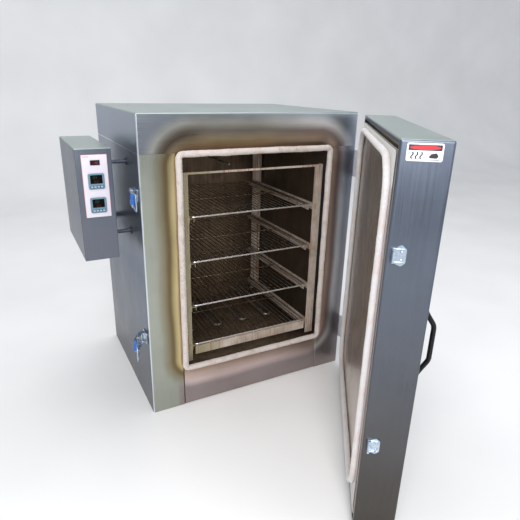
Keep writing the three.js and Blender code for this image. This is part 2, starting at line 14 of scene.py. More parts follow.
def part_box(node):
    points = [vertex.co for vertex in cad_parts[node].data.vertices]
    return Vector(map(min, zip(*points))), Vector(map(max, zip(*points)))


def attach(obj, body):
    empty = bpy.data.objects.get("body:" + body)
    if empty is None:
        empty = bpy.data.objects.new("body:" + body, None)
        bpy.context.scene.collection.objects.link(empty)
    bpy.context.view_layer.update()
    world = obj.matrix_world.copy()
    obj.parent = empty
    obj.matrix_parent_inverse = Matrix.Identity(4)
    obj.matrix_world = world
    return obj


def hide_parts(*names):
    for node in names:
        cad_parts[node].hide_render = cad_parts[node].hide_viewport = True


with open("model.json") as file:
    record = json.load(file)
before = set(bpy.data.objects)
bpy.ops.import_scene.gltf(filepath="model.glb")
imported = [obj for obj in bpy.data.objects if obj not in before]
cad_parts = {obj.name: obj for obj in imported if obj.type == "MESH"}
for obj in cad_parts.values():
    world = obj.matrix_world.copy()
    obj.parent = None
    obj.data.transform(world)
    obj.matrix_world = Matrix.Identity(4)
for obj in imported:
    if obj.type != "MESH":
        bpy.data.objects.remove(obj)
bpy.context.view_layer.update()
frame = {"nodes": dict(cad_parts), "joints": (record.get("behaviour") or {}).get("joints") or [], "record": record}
noise.seed_set(7)  # noise_vector starts from the clock unless it is seeded

MM = 0.001
RECORD_JOINTS = {joint["name"]: joint for joint in frame["joints"]}
BEND = 3 * MM  # inside radius of the casing's folds
SHEET = 2 * MM


# ---------- places, from the frame ----------
def turn_about(point, degrees):
    """A turn about an upright axis through a point."""
    here = Matrix.Translation(Vector(point))
    return here @ Matrix.Rotation(math.radians(degrees), 4, "Z") @ here.inverted()


def box_and_middle(node):
    low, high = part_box(node)
    return low, high, (low + high) / 2


def box_in(matrix, node):
    """A CAD node's lowest and highest corners in a frame of its own."""
    back = matrix.inverted()
    points = [back @ vertex.co for vertex in frame["nodes"][node].data.vertices]
    lowest = Vector([min(p[i] for p in points) for i in range(3)])
    highest = Vector([max(p[i] for p in points) for i in range(3)])
    return lowest, highest


door_joint = RECORD_JOINTS["door_swing"]
DOOR = turn_about(door_joint["pos_m"], -door_joint["range_deg"][0])

CAP_LOW, CAP_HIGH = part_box("top_cap")
HALF_W = CAP_HIGH.x
FRONT = CAP_LOW.y
SEAM = CAP_LOW.z
ROPE_LOW, ROPE_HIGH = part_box("opening_rope_gasket")
OPENING = (ROPE_LOW + ROPE_HIGH) / 2
OPENING_HALF = (ROPE_HIGH - ROPE_LOW) / 2
LINER_LOW, LINER_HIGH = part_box("chamber_liner")
SHELL_LOW, SHELL_HIGH = box_in(DOOR, "door_outer_shell")
DOOR_FACE = SHELL_HIGH.y  # the door's inner face, with the door closed
BOX_LOW, BOX_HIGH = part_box("control_box_cover")


# ---------- mesh helpers ----------
def fillet(points, radius, steps=5, closed=False):
    """The points of a line with its corners rounded."""
    result = []
    points = [Vector(p) for p in points]
    for i, here in enumerate(points):
        if not closed and i in (0, len(points) - 1):
            result.append(here)
            continue
        a, b = points[i - 1] - here, points[(i + 1) % len(points)] - here
        angle = a.angle(b)
        if radius <= 0 or angle > math.pi - 0.01:
            result.append(here)
            continue
        reach = min(radius / math.tan(angle / 2), 0.49 * a.length, 0.49 * b.length)
        a.normalize()
        b.normalize()
        centre = here + (a + b).normalized() * (reach / math.cos(angle / 2))
        start, end = here + a * reach - centre, here + b * reach - centre
        sweep = start.angle(end)
        for k in range(steps + 1):
            t = k / steps
            mix = start * math.sin((1 - t) * sweep) + end * math.sin(t * sweep)
            result.append(centre + mix / math.sin(sweep))
    return result


def rounded_rect(a0, a1, b0, b1, radius, steps=5):
    """A rounded rectangle as pairs."""
    return flat_fillet([(a0, b0), (a1, b0), (a1, b1), (a0, b1)], radius, steps)


def mm(*pairs):
    """Pairs given in millimetres."""
    return [(a * MM, b * MM) for a, b in pairs]


def flat_fillet(outline, radius, steps):
    """A closed outline of pairs with its corners rounded."""
    return [(p.x, p.y) for p in fillet([(a, b, 0) for a, b in outline], radius, steps, closed=True)]


PLANES = {
    "x": lambda a, b, c: Vector((c, a, b)),
    "y": lambda a, b, c: Vector((a, c, b)),
    "z": lambda a, b, c: Vector((a, b, c)),
}


def skin(bm, rings, closed_ring=True, closed_path=False, caps=True):
    """Faces between rings of points of the same length."""
    rows = [[bm.verts.new(p) for p in ring] for ring in rings]
    count = len(rows[0])
    pairs = list(zip(rows, rows[1:] + ([rows[0]] if closed_path else [])))
    for near, far in pairs:
        for k in range(count if closed_ring else count - 1):
            j = (k + 1) % count
            bm.faces.new((near[k], near[j], far[j], far[k]))
    if caps and closed_ring and not closed_path:
        bm.faces.new(list(reversed(rows[0])))
        bm.faces.new(rows[-1])
    return rows


def prism(bm, outline, axis, low, high):
    """An outline of pairs raised along an axis."""
    at = PLANES[axis]
    skin(bm, [[at(a, b, c) for a, b in outline] for c in (low, high)])


def pillow(bm, rect, radius, axis, low, high, bevel, steps=4):
    """A rounded rectangular plate with its edges eased on both faces."""
    a0, a1, b0, b1 = rect
    at = PLANES[axis]
    rings = []
    turns = [math.pi / 2 * k / 3 for k in range(4)]
    for c, sign in ((low, 1), (high, -1)):
        part = []
        for turn in turns:
            inset = bevel * (1 - math.sin(turn))
            depth = c + sign * bevel * (1 - math.cos(turn))
            corner = max(radius - inset, 0.2 * MM)
            flat = rounded_rect(a0 + inset, a1 - inset, b0 + inset, b1 - inset, corner, steps)
            part.append([at(a, b, depth) for a, b in flat])
        rings += part if sign > 0 else reversed(part)
    skin(bm, rings)


def folded_sheet(bm, line, axis, low, high, thick=SHEET, bend=BEND):
    """A sheet folded along a line of pairs, its thickness to the line's left, raised along an axis."""
    outer = [Vector((a, b, 0)) for a, b in line]
    inner = []
    for i, here in enumerate(outer):
        normals = []
        for k in (i - 1, i):
            if 0 <= k < len(outer) - 1:
                along = (outer[k + 1] - outer[k]).normalized()
                normals.append(Vector((-along.y, along.x, 0)))
        total = sum(normals, Vector())
        inner.append(here + total * (thick * len(normals) / total.length_squared))
    turns = []
    for i in range(1, len(outer) - 1):
        a, b = outer[i] - outer[i - 1], outer[i + 1] - outer[i]
        turns.append(a.x * b.y - a.y * b.x)
    left = sum(1 if t > 0 else -1 for t in turns) > 0
    outside, inside = (bend + thick, bend) if left else (bend, bend + thick)
    outline = fillet(outer, outside, 5) + list(reversed(fillet(inner, inside, 5)))
    prism(bm, [(p.x, p.y) for p in outline], axis, low, high)


def crate(bm, low, high, radius, segments=4, keep=None):
    """A box with rounded edges; keep says which edges, by their middle, are rounded."""
    made = bmesh.ops.create_cube(bm, size=1)["verts"]
    size, middle = Vector(high) - Vector(low), (Vector(high) + Vector(low)) / 2
    for vertex in made:
        vertex.co = Vector([vertex.co[i] * size[i] + middle[i] for i in range(3)])
    edges = {edge for vertex in made for edge in vertex.link_edges}
    if keep:
        edges = {edge for edge in edges if keep((edge.verts[0].co + edge.verts[1].co) / 2)}
    ordered = sorted(edges, key=lambda edge: edge.index)
    bmesh.ops.bevel(
        bm, geom=ordered, offset=radius, segments=segments, profile=0.5, affect="EDGES", clamp_overlap=True
    )


def sweep(bm, path, ring, closed=False, up=None, caps=True):
    """Rings of points, ring(i, distance) as pairs across and above the path, along a path."""
    path = [Vector(p) for p in path]
    rings, travelled = [], 0.0
    for i, here in enumerate(path):
        before = path[i - 1] if closed or i else here
        after = path[(i + 1) % len(path)] if closed or i < len(path) - 1 else here
        tangent = (after - before).normalized()
        if up is None:
            least = min(range(3), key=lambda k: abs(tangent[k]))
            up = Vector([1.0 if k == least else 0.0 for k in range(3)])
        side = tangent.cross(up).normalized()
        up = side.cross(tangent)
        travelled += (here - path[i - 1]).length if i else 0.0
        rings.append([here + side * a + up * b for a, b in ring(i, travelled)])
    skin(bm, rings, closed_path=closed, caps=caps)


def tube(bm, path, radius, sides=12, closed=False, up=None):
    """A round bar along a path. Its radius is a number or a function of the distance."""
    turns = [math.tau * k / sides for k in range(sides)]
    def ring(_, distance):
        r = radius(distance) if callable(radius) else radius
        return [(r * math.cos(t), r * math.sin(t)) for t in turns]
    sweep(bm, path, ring, closed, up)


def lathe(bm, profile, origin, axis, sides=24):
    """A profile of (radius, distance along the axis) turned about an axis through origin."""
    at, origin = PLANES[axis], Vector(origin)
    rings = []
    for radius, along in profile:
        turns = [math.tau * k / sides for k in range(sides)]
        rings.append([origin + at(radius * math.cos(t), radius * math.sin(t), along) for t in turns])
    skin(bm, rings)


def resample(path, step, closed=False):
    """Points at an even spacing along a path."""
    points = [Vector(p) for p in path] + ([Vector(path[0])] if closed else [])
    lengths = [0.0]
    for a, b in zip(points, points[1:]):
        lengths.append(lengths[-1] + (b - a).length)
    count = max(2, round(lengths[-1] / step))
    result, k = [], 0
    for i in range(count if closed else count + 1):
        target = lengths[-1] * i / count
        while k < len(points) - 2 and lengths[k + 1] < target:
            k += 1
        span = lengths[k + 1] - lengths[k]
        result.append(points[k].lerp(points[k + 1], (target - lengths[k]) / span if span else 0))
    return result


def baked(obj):
    """The object's mesh with its modifiers applied."""
    bpy.context.view_layer.update()
    graph = bpy.context.evaluated_depsgraph_get()
    mesh = bpy.data.meshes.new_from_object(obj.evaluated_get(graph))
    obj.modifiers.clear()
    old, obj.data = obj.data, mesh
    bpy.data.meshes.remove(old)


def carve(obj, *cutters):
    """Cuts closed shapes, each a function that fills a bmesh, out of an object."""
    for fill in cutters:
        tool = mesh_object("cutter", fill)
        modifier = obj.modifiers.new("cut", "BOOLEAN")
        modifier.operation, modifier.solver, modifier.object = "DIFFERENCE", "EXACT", tool
        baked(obj)
        bpy.data.objects.remove(tool)
    finish_shading(obj)


def mesh_object(name, fill):
    bm = bmesh.new()
    fill(bm)
    bmesh.ops.recalc_face_normals(bm, faces=bm.faces)
    mesh = bpy.data.meshes.new(name)
    bm.to_mesh(mesh)
    bm.free()
    obj = bpy.data.objects.new(name, mesh)
    bpy.context.scene.collection.objects.link(obj)
    return obj


def finish_shading(obj, sharp=38):
    obj.data.shade_smooth()
    obj.data.set_sharp_from_angle(angle=math.radians(sharp))


def weight_normals(obj):
    obj.modifiers.new("weighted normals", "WEIGHTED_NORMAL").keep_sharp = True


def thicken(obj, thick):
    """Gives an open skin its sheet thickness, inwards, ahead of the weighted normals."""
    sheet = obj.modifiers.new("sheet", "SOLIDIFY")
    sheet.thickness, sheet.offset, sheet.use_even_offset = thick, -1, True
    obj.modifiers.move(1, 0)


def piece(name, fill, material, body, stands_for=(), matrix=None, sharp=38):
    """A shown piece: its mesh, finish, body, and the CAD nodes that it stands for."""
    obj = mesh_object(name, fill)
    obj.data.materials.append(material)
    finish_shading(obj, sharp)
    weight_normals(obj)
    if matrix:
        obj.matrix_world = matrix
    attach(obj, body)
    if stands_for:
        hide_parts(*stands_for)
    return obj


# ---------- materials ----------
class Finish:
    """A material in the making, on one Principled shader."""

    def __init__(self, name, colour, roughness, metallic=0.0):
        self.material = bpy.data.materials.new(name)
        self.material.use_nodes = True
        self.tree = self.material.node_tree
        self.shader = self.tree.nodes["Principled BSDF"]
        self.shader.inputs["Base Color"].default_value = (*colour, 1)
        self.shader.inputs["Roughness"].default_value = roughness
        self.shader.inputs["Metallic"].default_value = metallic
        self.material.diffuse_color = (*colour, 1)
        self.place = self.node("ShaderNodeTexCoord").outputs["Object"]

    def node(self, kind, inputs=None, **settings):
        made = self.tree.nodes.new(kind)
        for key, value in settings.items():
            setattr(made, key, value)
        for key, value in (inputs or {}).items():
            if isinstance(value, bpy.types.NodeSocket):
                self.tree.links.new(value, made.inputs[key])
            else:
                made.inputs[key].default_value = value
        return made

    def math(self, operation, a, b=0.0):
        return self.node("ShaderNodeMath", {0: a, 1: b}, operation=operation).outputs[0]

    def plus(self, a, b):
        return self.math("ADD", a, b)

    def minus(self, a, b):
        return self.math("SUBTRACT", a, b)

    def times(self, a, b):
        return self.math("MULTIPLY", a, b)

    def vector(self, operation, a, b=(0, 0, 0), output=0):
        return self.node("ShaderNodeVectorMath", {0: a, 1: b}, operation=operation).outputs[output]

    def scaled(self, x, y, z):
        return self.vector("MULTIPLY", self.place, (x, y, z))

    def noise(self, scale, detail=3.0, roughness=0.55, vector=None, distortion=0.0):
        values = {
            "Vector": vector or self.place, "Scale": scale, "Detail": detail,
            "Roughness": roughness, "Distortion": distortion,
        }
        return self.node("ShaderNodeTexNoise", values).outputs["Fac"]

    def ramp(self, factor, stops):
        made = self.node("ShaderNodeValToRGB", {"Fac": factor})
        elements = made.color_ramp.elements
        while len(elements) < len(stops):
            elements.new(0.5)
        for element, (position, colour) in zip(elements, stops):
            element.position = position
            element.color = (*colour, 1) if hasattr(colour, "__len__") else (colour, colour, colour, 1)
        return made.outputs["Color"]

    def mix(self, factor, a, b, blend="MIX"):
        as_colour = lambda c: c if isinstance(c, bpy.types.NodeSocket) else (*c, 1)
        made = self.node(
            "ShaderNodeMix", {0: factor, 6: as_colour(a), 7: as_colour(b)}, data_type="RGBA", blend_type=blend
        )
        return made.outputs[2]

    def map_range(self, value, low, high, to_low=0.0, to_high=1.0, smooth=False):
        made = self.node(
            "ShaderNodeMapRange",
            {0: value, 1: low, 2: high, 3: to_low, 4: to_high},
            interpolation_type="SMOOTHSTEP" if smooth else "LINEAR",
        )
        return made.outputs[0]

    def split(self):
        return self.node("ShaderNodeSeparateXYZ", {0: self.place}).outputs

    def feed(self, socket, value):
        self.tree.links.new(value, self.shader.inputs[socket])

    def rough(self, factor, low, high):
        self.feed("Roughness", self.map_range(factor, 0.3, 0.7, low, high))

    def bump(self, height, strength, distance):
        made = self.node("ShaderNodeBump", {"Strength": strength, "Distance": distance, "Height": height})
        self.tree.links.new(made.outputs[0], self.shader.inputs["Normal"])


def srgb(r, g, b):
    return tuple(((c / 255 + 0.055) / 1.055) ** 2.4 if c > 10 else c / 255 / 12.92 for c in (r, g, b))


def brush(finish, grain, roughness=0.34, spread=0.12):
    """The fine parallel scratches of a brushed sheet, along one axis, and its cloudy roughness."""
    lengths = {"x": (6, 900, 900), "y": (900, 6, 900), "z": (900, 900, 6)}[grain]
    lines = finish.noise(1.0, 2, 0.6, finish.scaled(*lengths))
    clouds = finish.noise(5.0, 3)
    mixed = finish.plus(finish.times(lines, 0.6), finish.times(clouds, 0.4))
    finish.feed("Roughness", finish.map_range(mixed, 0.25, 0.75, roughness - spread, roughness + spread))
    finish.bump(lines, 0.18, 0.1 * MM)
    return lines, clouds


def feed_steel(finish, colour, lines, clouds, low, high):
    """A steel's base colour, shaded by its clouds and by its scratches."""
    shade = finish.ramp(clouds, [(0.3, low), (0.7, high)])
    colour = finish.mix(0.8, colour, shade, "MULTIPLY")
    hair = finish.ramp(lines, [(0.3, 0.9), (0.7, 1.05)])
    finish.feed("Base Color", finish.mix(0.7, colour, hair, "MULTIPLY"))


def tones(finish, factor, *stops):
    """A ramp through 8-bit colours, each stop a place and three values."""
    return finish.ramp(factor, [(place, srgb(r, g, b)) for place, r, g, b in stops])


def opening_distance(finish):
    """How far a point of the front lies outside the opening's rope, on rounded rectangles round it."""
    rounding = 0.05
    centred = finish.vector("SUBTRACT", finish.place, (OPENING.x, 0, OPENING.z))
    folded = finish.vector("ABSOLUTE", centred)
    corner = (OPENING_HALF.x - rounding, 10, OPENING_HALF.z - rounding)
    outside = finish.vector("MAXIMUM", finish.vector("SUBTRACT", folded, corner))
    return finish.minus(finish.vector("LENGTH", outside, output="Value"), rounding)


def cabinet_steel(name, grain):
    """Brushed stainless with the heat tint that a hot door leaves round the opening, and painted light and shade
    over it.
    """
    finish = Finish(name, (0.3, 0.31, 0.34), 0.34, 1.0)
    lines, clouds = brush(finish, grain)
    x, y, z = finish.split()
    height = finish.map_range(z, 0.0, 1.0)
    # painted reflection: the front's untinted tone is warm low down, as if reflecting the floor, and cooler up
    # high
    plain = tones(finish, height, (0.0, 160, 148, 146), (0.25, 150, 146, 148), (0.9, 138, 143, 154),
                  (1.0, 146, 152, 160))
    # painted shade: the side faces are darker than the front, growing lighter towards the top
    side = tones(finish, height, (0.0, 96, 96, 100), (0.5, 86, 98, 116), (1.0, 148, 158, 174))
    left = finish.map_range(x, -0.29, -0.31, smooth=True)
    under_seam = finish.map_range(z, SEAM - 0.0005, SEAM - 0.001)
    stile = finish.times(left, under_seam)
    plain = finish.mix(stile, plain, srgb(168, 172, 162))
    front = finish.map_range(y, FRONT + 0.004, FRONT + 0.0005)
    wobble = finish.noise(3.0, 2, 0.5)
    level = grain == "x"
    runs = finish.noise(1.0, 3, 0.6, finish.scaled(*((5, 40, 40) if level else (40, 40, 5))))
    shift = finish.times(finish.minus(wobble, 0.5), 0.02)
    right = finish.map_range(x, 0.1, 0.28)
    above = finish.map_range(z, OPENING.z, OPENING.z + 0.1)
    reach = finish.plus(1.0, finish.times(above, -0.22 if level else 0.0))
    wandering = finish.plus(opening_distance(finish), shift)
    along = finish.map_range(finish.times(wandering, reach), 0.0, 0.1)
    olive = tones(
        finish, along, (0.0, 206, 188, 152), (0.08, 214, 198, 150), (0.17, 186, 172, 126),
        (0.26, 130, 114, 84), (0.32, 122, 108, 78), (0.41, 142, 132, 108), (0.52, 154, 151, 130),
        (0.72, 168, 170, 156), (1.0, 168, 172, 162))
    brown = tones(
        finish, along, (0.0, 140, 112, 92), (0.1, 176, 148, 116), (0.22, 186, 170, 140),
        (0.33, 172, 160, 144), (0.42, 148, 142, 134), (0.5, 166, 164, 156), (0.6, 182, 182, 174),
        (1.0, 176, 178, 180))
    dusk = tones(
        finish, along, (0.0, 104, 90, 80), (0.06, 130, 108, 94), (0.13, 204, 186, 174), (0.21, 220, 196, 178),
        (0.3, 188, 168, 158), (0.38, 168, 154, 150), (0.46, 206, 200, 198), (0.56, 240, 240, 240),
        (1.0, 208, 212, 218))
    rose = tones(
        finish, along, (0.0, 196, 176, 166), (0.1, 164, 136, 122), (0.25, 190, 168, 156),
        (0.5, 214, 194, 190), (1.0, 210, 192, 192))
    if level:
        tint = finish.mix(above, rose, finish.mix(finish.map_range(x, 0.0, 0.24), brown, dusk))
        scorched = finish.ramp(along, [(0.0, 0.2), (0.2, 0.5), (0.34, 0.95), (0.46, 0.5), (0.6, 0.0)])
        corner = finish.times(above, finish.map_range(x, -0.16, -0.26, smooth=True))
        tint = finish.mix(finish.times(corner, scorched), tint, srgb(92, 80, 70))
    else:
        tint = finish.mix(right, olive, dusk)
    streaks = finish.ramp(runs, [(0.4, 0.0), (0.75, 0.3)])
    tint = finish.mix(streaks, tint, finish.mix(0.5, tint, srgb(96, 82, 70)))
    amount = finish.map_range(along, 0.56, 0.86, 1.0, 0.0, smooth=True)
    tinted = finish.mix(amount, plain, tint)
    colour = finish.mix(front, side, tinted)
    # painted highlight: a pale line along the cap's lower edge on the sides, and pale upright corner bends at the
    # front
    off_seam = finish.math("ABSOLUTE", finish.minus(z, SEAM + 0.001))
    seam = finish.map_range(off_seam, 0.0014, 0.001)
    wear_and_highlight = finish.times(seam, finish.minus(1.0, front))
    behind = finish.minus(y, FRONT)
    beyond = finish.minus(finish.math("ABSOLUTE", x), HALF_W)
    inset = finish.minus(behind, beyond)
    wear_and_highlight = finish.math("MAXIMUM", wear_and_highlight, finish.map_range(inset, 0.0042, 0.0032))
    colour = finish.mix(wear_and_highlight, colour, srgb(225, 230, 238))
    # painted light: the cap's top face is paler, as if lit from above
    top = finish.map_range(z, CAP_HIGH.z - 0.004, CAP_HIGH.z - 0.001)
    colour = finish.mix(top, colour, srgb(165, 178, 174))
    feed_steel(finish, colour, lines, clouds, 0.86, 1.08)
    return finish.material


def plain_steel(name, grain, low, high, roughness=0.34, lid=None):
    """Brushed stainless whose tone drifts from low down to high up, a painted reflection, with a paler lid at a
    height, painted light on its top face.
    """
    finish = Finish(name, high, roughness, 1.0)
    lines, clouds = brush(finish, grain, roughness)
    # painted reflection: the tone drifts from the low colour at the bottom to the high colour at the top
    height = finish.map_range(finish.split()[2], 0.0, 1.0, smooth=True)
    colour = finish.mix(height, low, high)
    if lid:
        # painted light: the top face, above the lid height, is paler
        top = finish.map_range(finish.split()[2], lid - 0.003, lid - 0.0005)
        colour = finish.mix(top, colour, srgb(172, 184, 180))
    feed_steel(finish, colour, lines, clouds, 0.88, 1.06)
    return finish.material


def oxidised_steel(name, deep, light, metallic=0.7, roughness=0.5, scale=9.0, far_side=0.0):
    """Steel browned by heat, in clouds and runs, and blacker towards the hinge side."""
    finish = Finish(name, light, roughness, metallic)
    clouds = finish.noise(scale, 5, 0.6, distortion=0.6)
    runs = finish.noise(1.0, 3, 0.6, finish.scaled(70, 70, 4))
    mixed = finish.plus(finish.times(clouds, 0.6), finish.times(runs, 0.4))
    colour = finish.ramp(mixed, [(0.34, deep), (0.66, light)])
    if far_side:
        shadow = finish.map_range(finish.split()[0], 0.1, 0.276, smooth=True)
        colour = finish.mix(finish.times(shadow, far_side), colour, tuple(0.3 * c for c in deep))
    finish.feed("Base Color", colour)
    finish.rough(mixed, roughness + 0.12, roughness - 0.1)
    finish.bump(clouds, 0.15, 0.3 * MM)
    return finish.material


def rope_cloth(name, clean, dirt, dirty=0.5):
    """Knitted glass fibre: fuzzy, off-white, with a few scorched spots."""
    finish = Finish(name, clean, 0.95)
    fuzz = finish.noise(900, 3, 0.7)
    patches = finish.noise(26, 4, 0.6)
    spots = finish.noise(190, 2, 0.5)
    colour = finish.mix(finish.ramp(patches, [(0.45, 0.0), (0.75, dirty)]), clean, dirt)
    specks = finish.ramp(spots, [(0.66, 0.0), (0.74, dirty)])
    colour = finish.mix(specks, colour, tuple(c * 0.4 for c in dirt))
    fibres = finish.ramp(fuzz, [(0.3, 0.82), (0.65, 1.0)])
    finish.feed("Base Color", finish.mix(1.0, colour, fibres, "MULTIPLY"))
    finish.bump(fuzz, 0.5, 0.6 * MM)
    finish.shader.inputs["Sheen Weight"].default_value = 0.3
    return finish.material


def bright_metal(name, colour, roughness=0.25, wear=(0.5, 0.5, 0.5)):
    """Plated or polished steel with dull patches."""
    finish = Finish(name, colour, roughness, 1.0)
    patches = finish.noise(160, 4, 0.6)
    finish.feed("Base Color", finish.mix(finish.ramp(patches, [(0.45, 0.0), (0.7, 0.6)]), colour, wear))
    finish.rough(patches, roughness - 0.07, roughness + 0.15)
    finish.bump(finish.noise(700, 2), 0.08, 0.1 * MM)
    return finish.material


def moulded(name, colour, roughness=0.4, grain=1200, depth=0.12, wear_and_highlight=None):
    """Moulded plastic with a fine skin and slightly worn high spots."""
    finish = Finish(name, colour, roughness)
    skin_noise = finish.noise(grain, 2)
    patches = finish.noise(90, 4, 0.6)
    wear_and_highlight = wear_and_highlight or tuple(min(1.0, c * 1.4 + 0.02) for c in colour)
    finish.feed("Base Color", finish.mix(finish.ramp(patches, [(0.5, 0.0), (0.8, 0.5)]), colour, wear_and_highlight))
    finish.rough(patches, roughness - 0.06, roughness + 0.1)
    finish.bump(skin_noise, depth, 0.1 * MM)
    return finish.material


def wire_finish(name):
    """Nickel-plated wire: bright at the front of each shelf as painted light, and browned towards the back."""
    finish = Finish(name, srgb(190, 182, 172), 0.3, 1.0)
    depth = finish.map_range(finish.split()[1], -0.29, -0.05, smooth=True)
    patches = finish.noise(55, 4, 0.6)
    aged = finish.mix(finish.ramp(patches, [(0.4, 0.0), (0.7, 1.0)]), srgb(160, 147, 130), srgb(104, 90, 76))
    # painted light: each shelf's front is mixed to a bright, near-white nickel
    finish.feed("Base Color", finish.mix(depth, srgb(232, 228, 226), aged))
    finish.rough(patches, 0.22, 0.42)
    return finish.material


def rack_finish(name):
    """Heat-tanned steel angle with a rust run down the front face."""
    finish = Finish(name, srgb(190, 178, 164), 0.42, 0.4)
    clouds = finish.noise(14, 5, 0.6)
    base = finish.ramp(clouds, [(0.3, srgb(166, 152, 136)), (0.7, srgb(214, 204, 194))])
    left = finish.map_range(finish.split()[0], -0.1, -0.2)
    base = finish.mix(left, base, srgb(150, 142, 116))
    runs = finish.noise(1.0, 3, 0.6, finish.scaled(150, 150, 5))
    rust = finish.ramp(runs, [(0.54, 0.0), (0.64, 0.75)])
    finish.feed("Base Color", finish.mix(rust, base, srgb(150, 92, 50)))
    finish.rough(clouds, 0.5, 0.34)
    finish.bump(clouds, 0.12, 0.3 * MM)
    return finish.material


def printed_film(name, colour):
    finish = Finish(name, colour, 0.35)
    clouds = finish.noise(30, 3)
    shade = finish.ramp(clouds, [(0.3, 0.95), (0.7, 1.0)])
    finish.feed("Base Color", finish.mix(1.0, colour, shade, "MULTIPLY"))
    finish.bump(finish.noise(1500, 2), 0.05, 0.05 * MM)
    return finish.material


STEEL_V = cabinet_steel("cabinet_steel_upright", "z")
STEEL_H = cabinet_steel("cabinet_steel_level", "x")
# the door, plug panel, box and back steels carry a painted reflection from their low tone to their high tone, and
# the door and box a painted lighter top
DOOR_STEEL = plain_steel("door_steel", "z", srgb(84, 80, 76), srgb(106, 114, 128), lid=SHELL_HIGH.z)
PANEL_STEEL = plain_steel("panel_steel", "z", srgb(206, 192, 180), srgb(176, 168, 154), 0.26)
BOX_STEEL = plain_steel("box_steel", "z", srgb(118, 117, 126), srgb(110, 117, 128), 0.36, BOX_HIGH.z)
BACK_STEEL = plain_steel("back_steel", "x", srgb(150, 150, 152), srgb(156, 160, 166), 0.38)
LINER = oxidised_steel("liner_steel", srgb(88, 73, 60), srgb(140, 120, 98), 0.45, 0.42, far_side=0.75)
RACK = rack_finish("rack_steel")
WIRE = wire_finish("shelf_wire")
SHEATH = oxidised_steel("element_sheath", srgb(105, 98, 92), srgb(176, 170, 162), 0.8, 0.45, 40)
ROPE = rope_cloth("rope_fibre", srgb(206, 196, 191), srgb(160, 138, 122), 0.62)
DOOR_ROPE = rope_cloth("door_rope_fibre", srgb(210, 207, 208), srgb(198, 172, 158), 0.5)
TAIL = rope_cloth("tail_fibre", srgb(204, 202, 198), srgb(170, 164, 154), 0.5)
WOOL = rope_cloth("insulation_wool", srgb(214, 206, 176), srgb(170, 150, 110), 0.6)
ZINC = bright_metal("zinc_plate", srgb(186, 200, 216), 0.3, srgb(132, 146, 162))
SCREW = bright_metal("screw_steel", srgb(205, 205, 210), 0.28, srgb(140, 135, 130))
STRIP = bright_metal("clamp_strip", srgb(226, 208, 212), 0.3, srgb(170, 150, 150))
HINGE = bright_metal("hinge_steel", srgb(208, 210, 216), 0.4, srgb(176, 178, 184))
BLACK = moulded("black_plastic", srgb(14, 14, 16), 0.38)
BLUE = moulded("blue_vinyl", srgb(30, 90, 172), 0.32, 900, 0.2, srgb(104, 152, 208))
BEZEL = moulded("controller_plastic", srgb(98, 126, 144), 0.45, 1400, 0.1)
KEYS = moulded("key_plastic", srgb(150, 178, 196), 0.5, 1400, 0.1)
SCREEN = moulded("display_glass", srgb(4, 5, 6), 0.4, 2000, 0.02, srgb(8, 9, 11))
SWITCH_RED = moulded("switch_red", srgb(74, 8, 22), 0.3, 1500, 0.05, srgb(130, 20, 40))
# painted shade: the spacers' steel is darkened for the shadowed gap between the control box and the cabinet's side
SHADED_SPACER_STEEL = bright_metal("shaded_spacer_steel", srgb(84, 88, 96), 0.4, srgb(60, 62, 68))
DIGIT_GREEN = moulded("digit_green", srgb(44, 84, 60), 0.5)
DIGIT_RED = moulded("digit_red", srgb(104, 40, 34), 0.5)
KEY_WELL = moulded("key_well", srgb(48, 66, 82), 0.6)
FILM_EDGE = printed_film("panel_film_edge", srgb(224, 178, 190))
FILM = printed_film("panel_film", srgb(217, 211, 221))
LABEL_WHITE = printed_film("label_white", srgb(238, 236, 244))
LABEL_RED = printed_film("label_red", srgb(196, 40, 52))
LABEL_DARK = printed_film("label_dark", srgb(28, 30, 44))

for toned, socket_name, level in (
    (HINGE, "Metallic", 0.35), (BLACK, "Specular IOR Level", 0.25), (SCREEN, "Specular IOR Level", 0.08),
    (DIGIT_GREEN, "Specular IOR Level", 0.08), (DIGIT_RED, "Specular IOR Level", 0.08),
    (KEY_WELL, "Specular IOR Level", 0.08),
):
    toned.node_tree.nodes["Principled BSDF"].inputs[socket_name].default_value = level


# ---------- cabinet ----------
def screws(bm, places, axis, out, radius, height):
    """Pan-head screws, their heads standing out along an axis (out is 1 or -1)."""
    bump = [(0.0002, 1.0), (0.5, 0.97), (0.82, 0.72), (1.0, 0.2), (1.0, 0.0)]
    for place in places:
        profile = [(max(r * radius, 0.1 * MM), out * h * height) for r, h in bump]
        lathe(bm, profile, place, axis, 14)


def screw_set(name, places, axis, out, radius, height, body="cabinet", matrix=None):
    piece(name, lambda bm: screws(bm, places, axis, out, radius, height), SCREW, body,
          matrix=matrix)


def mirrored(fill):
    """The same shape on the other side of the cabinet."""
    def other(bm):
        fill(bm)
        for vertex in bm.verts:
            vertex.co.x = -vertex.co.x
    return other


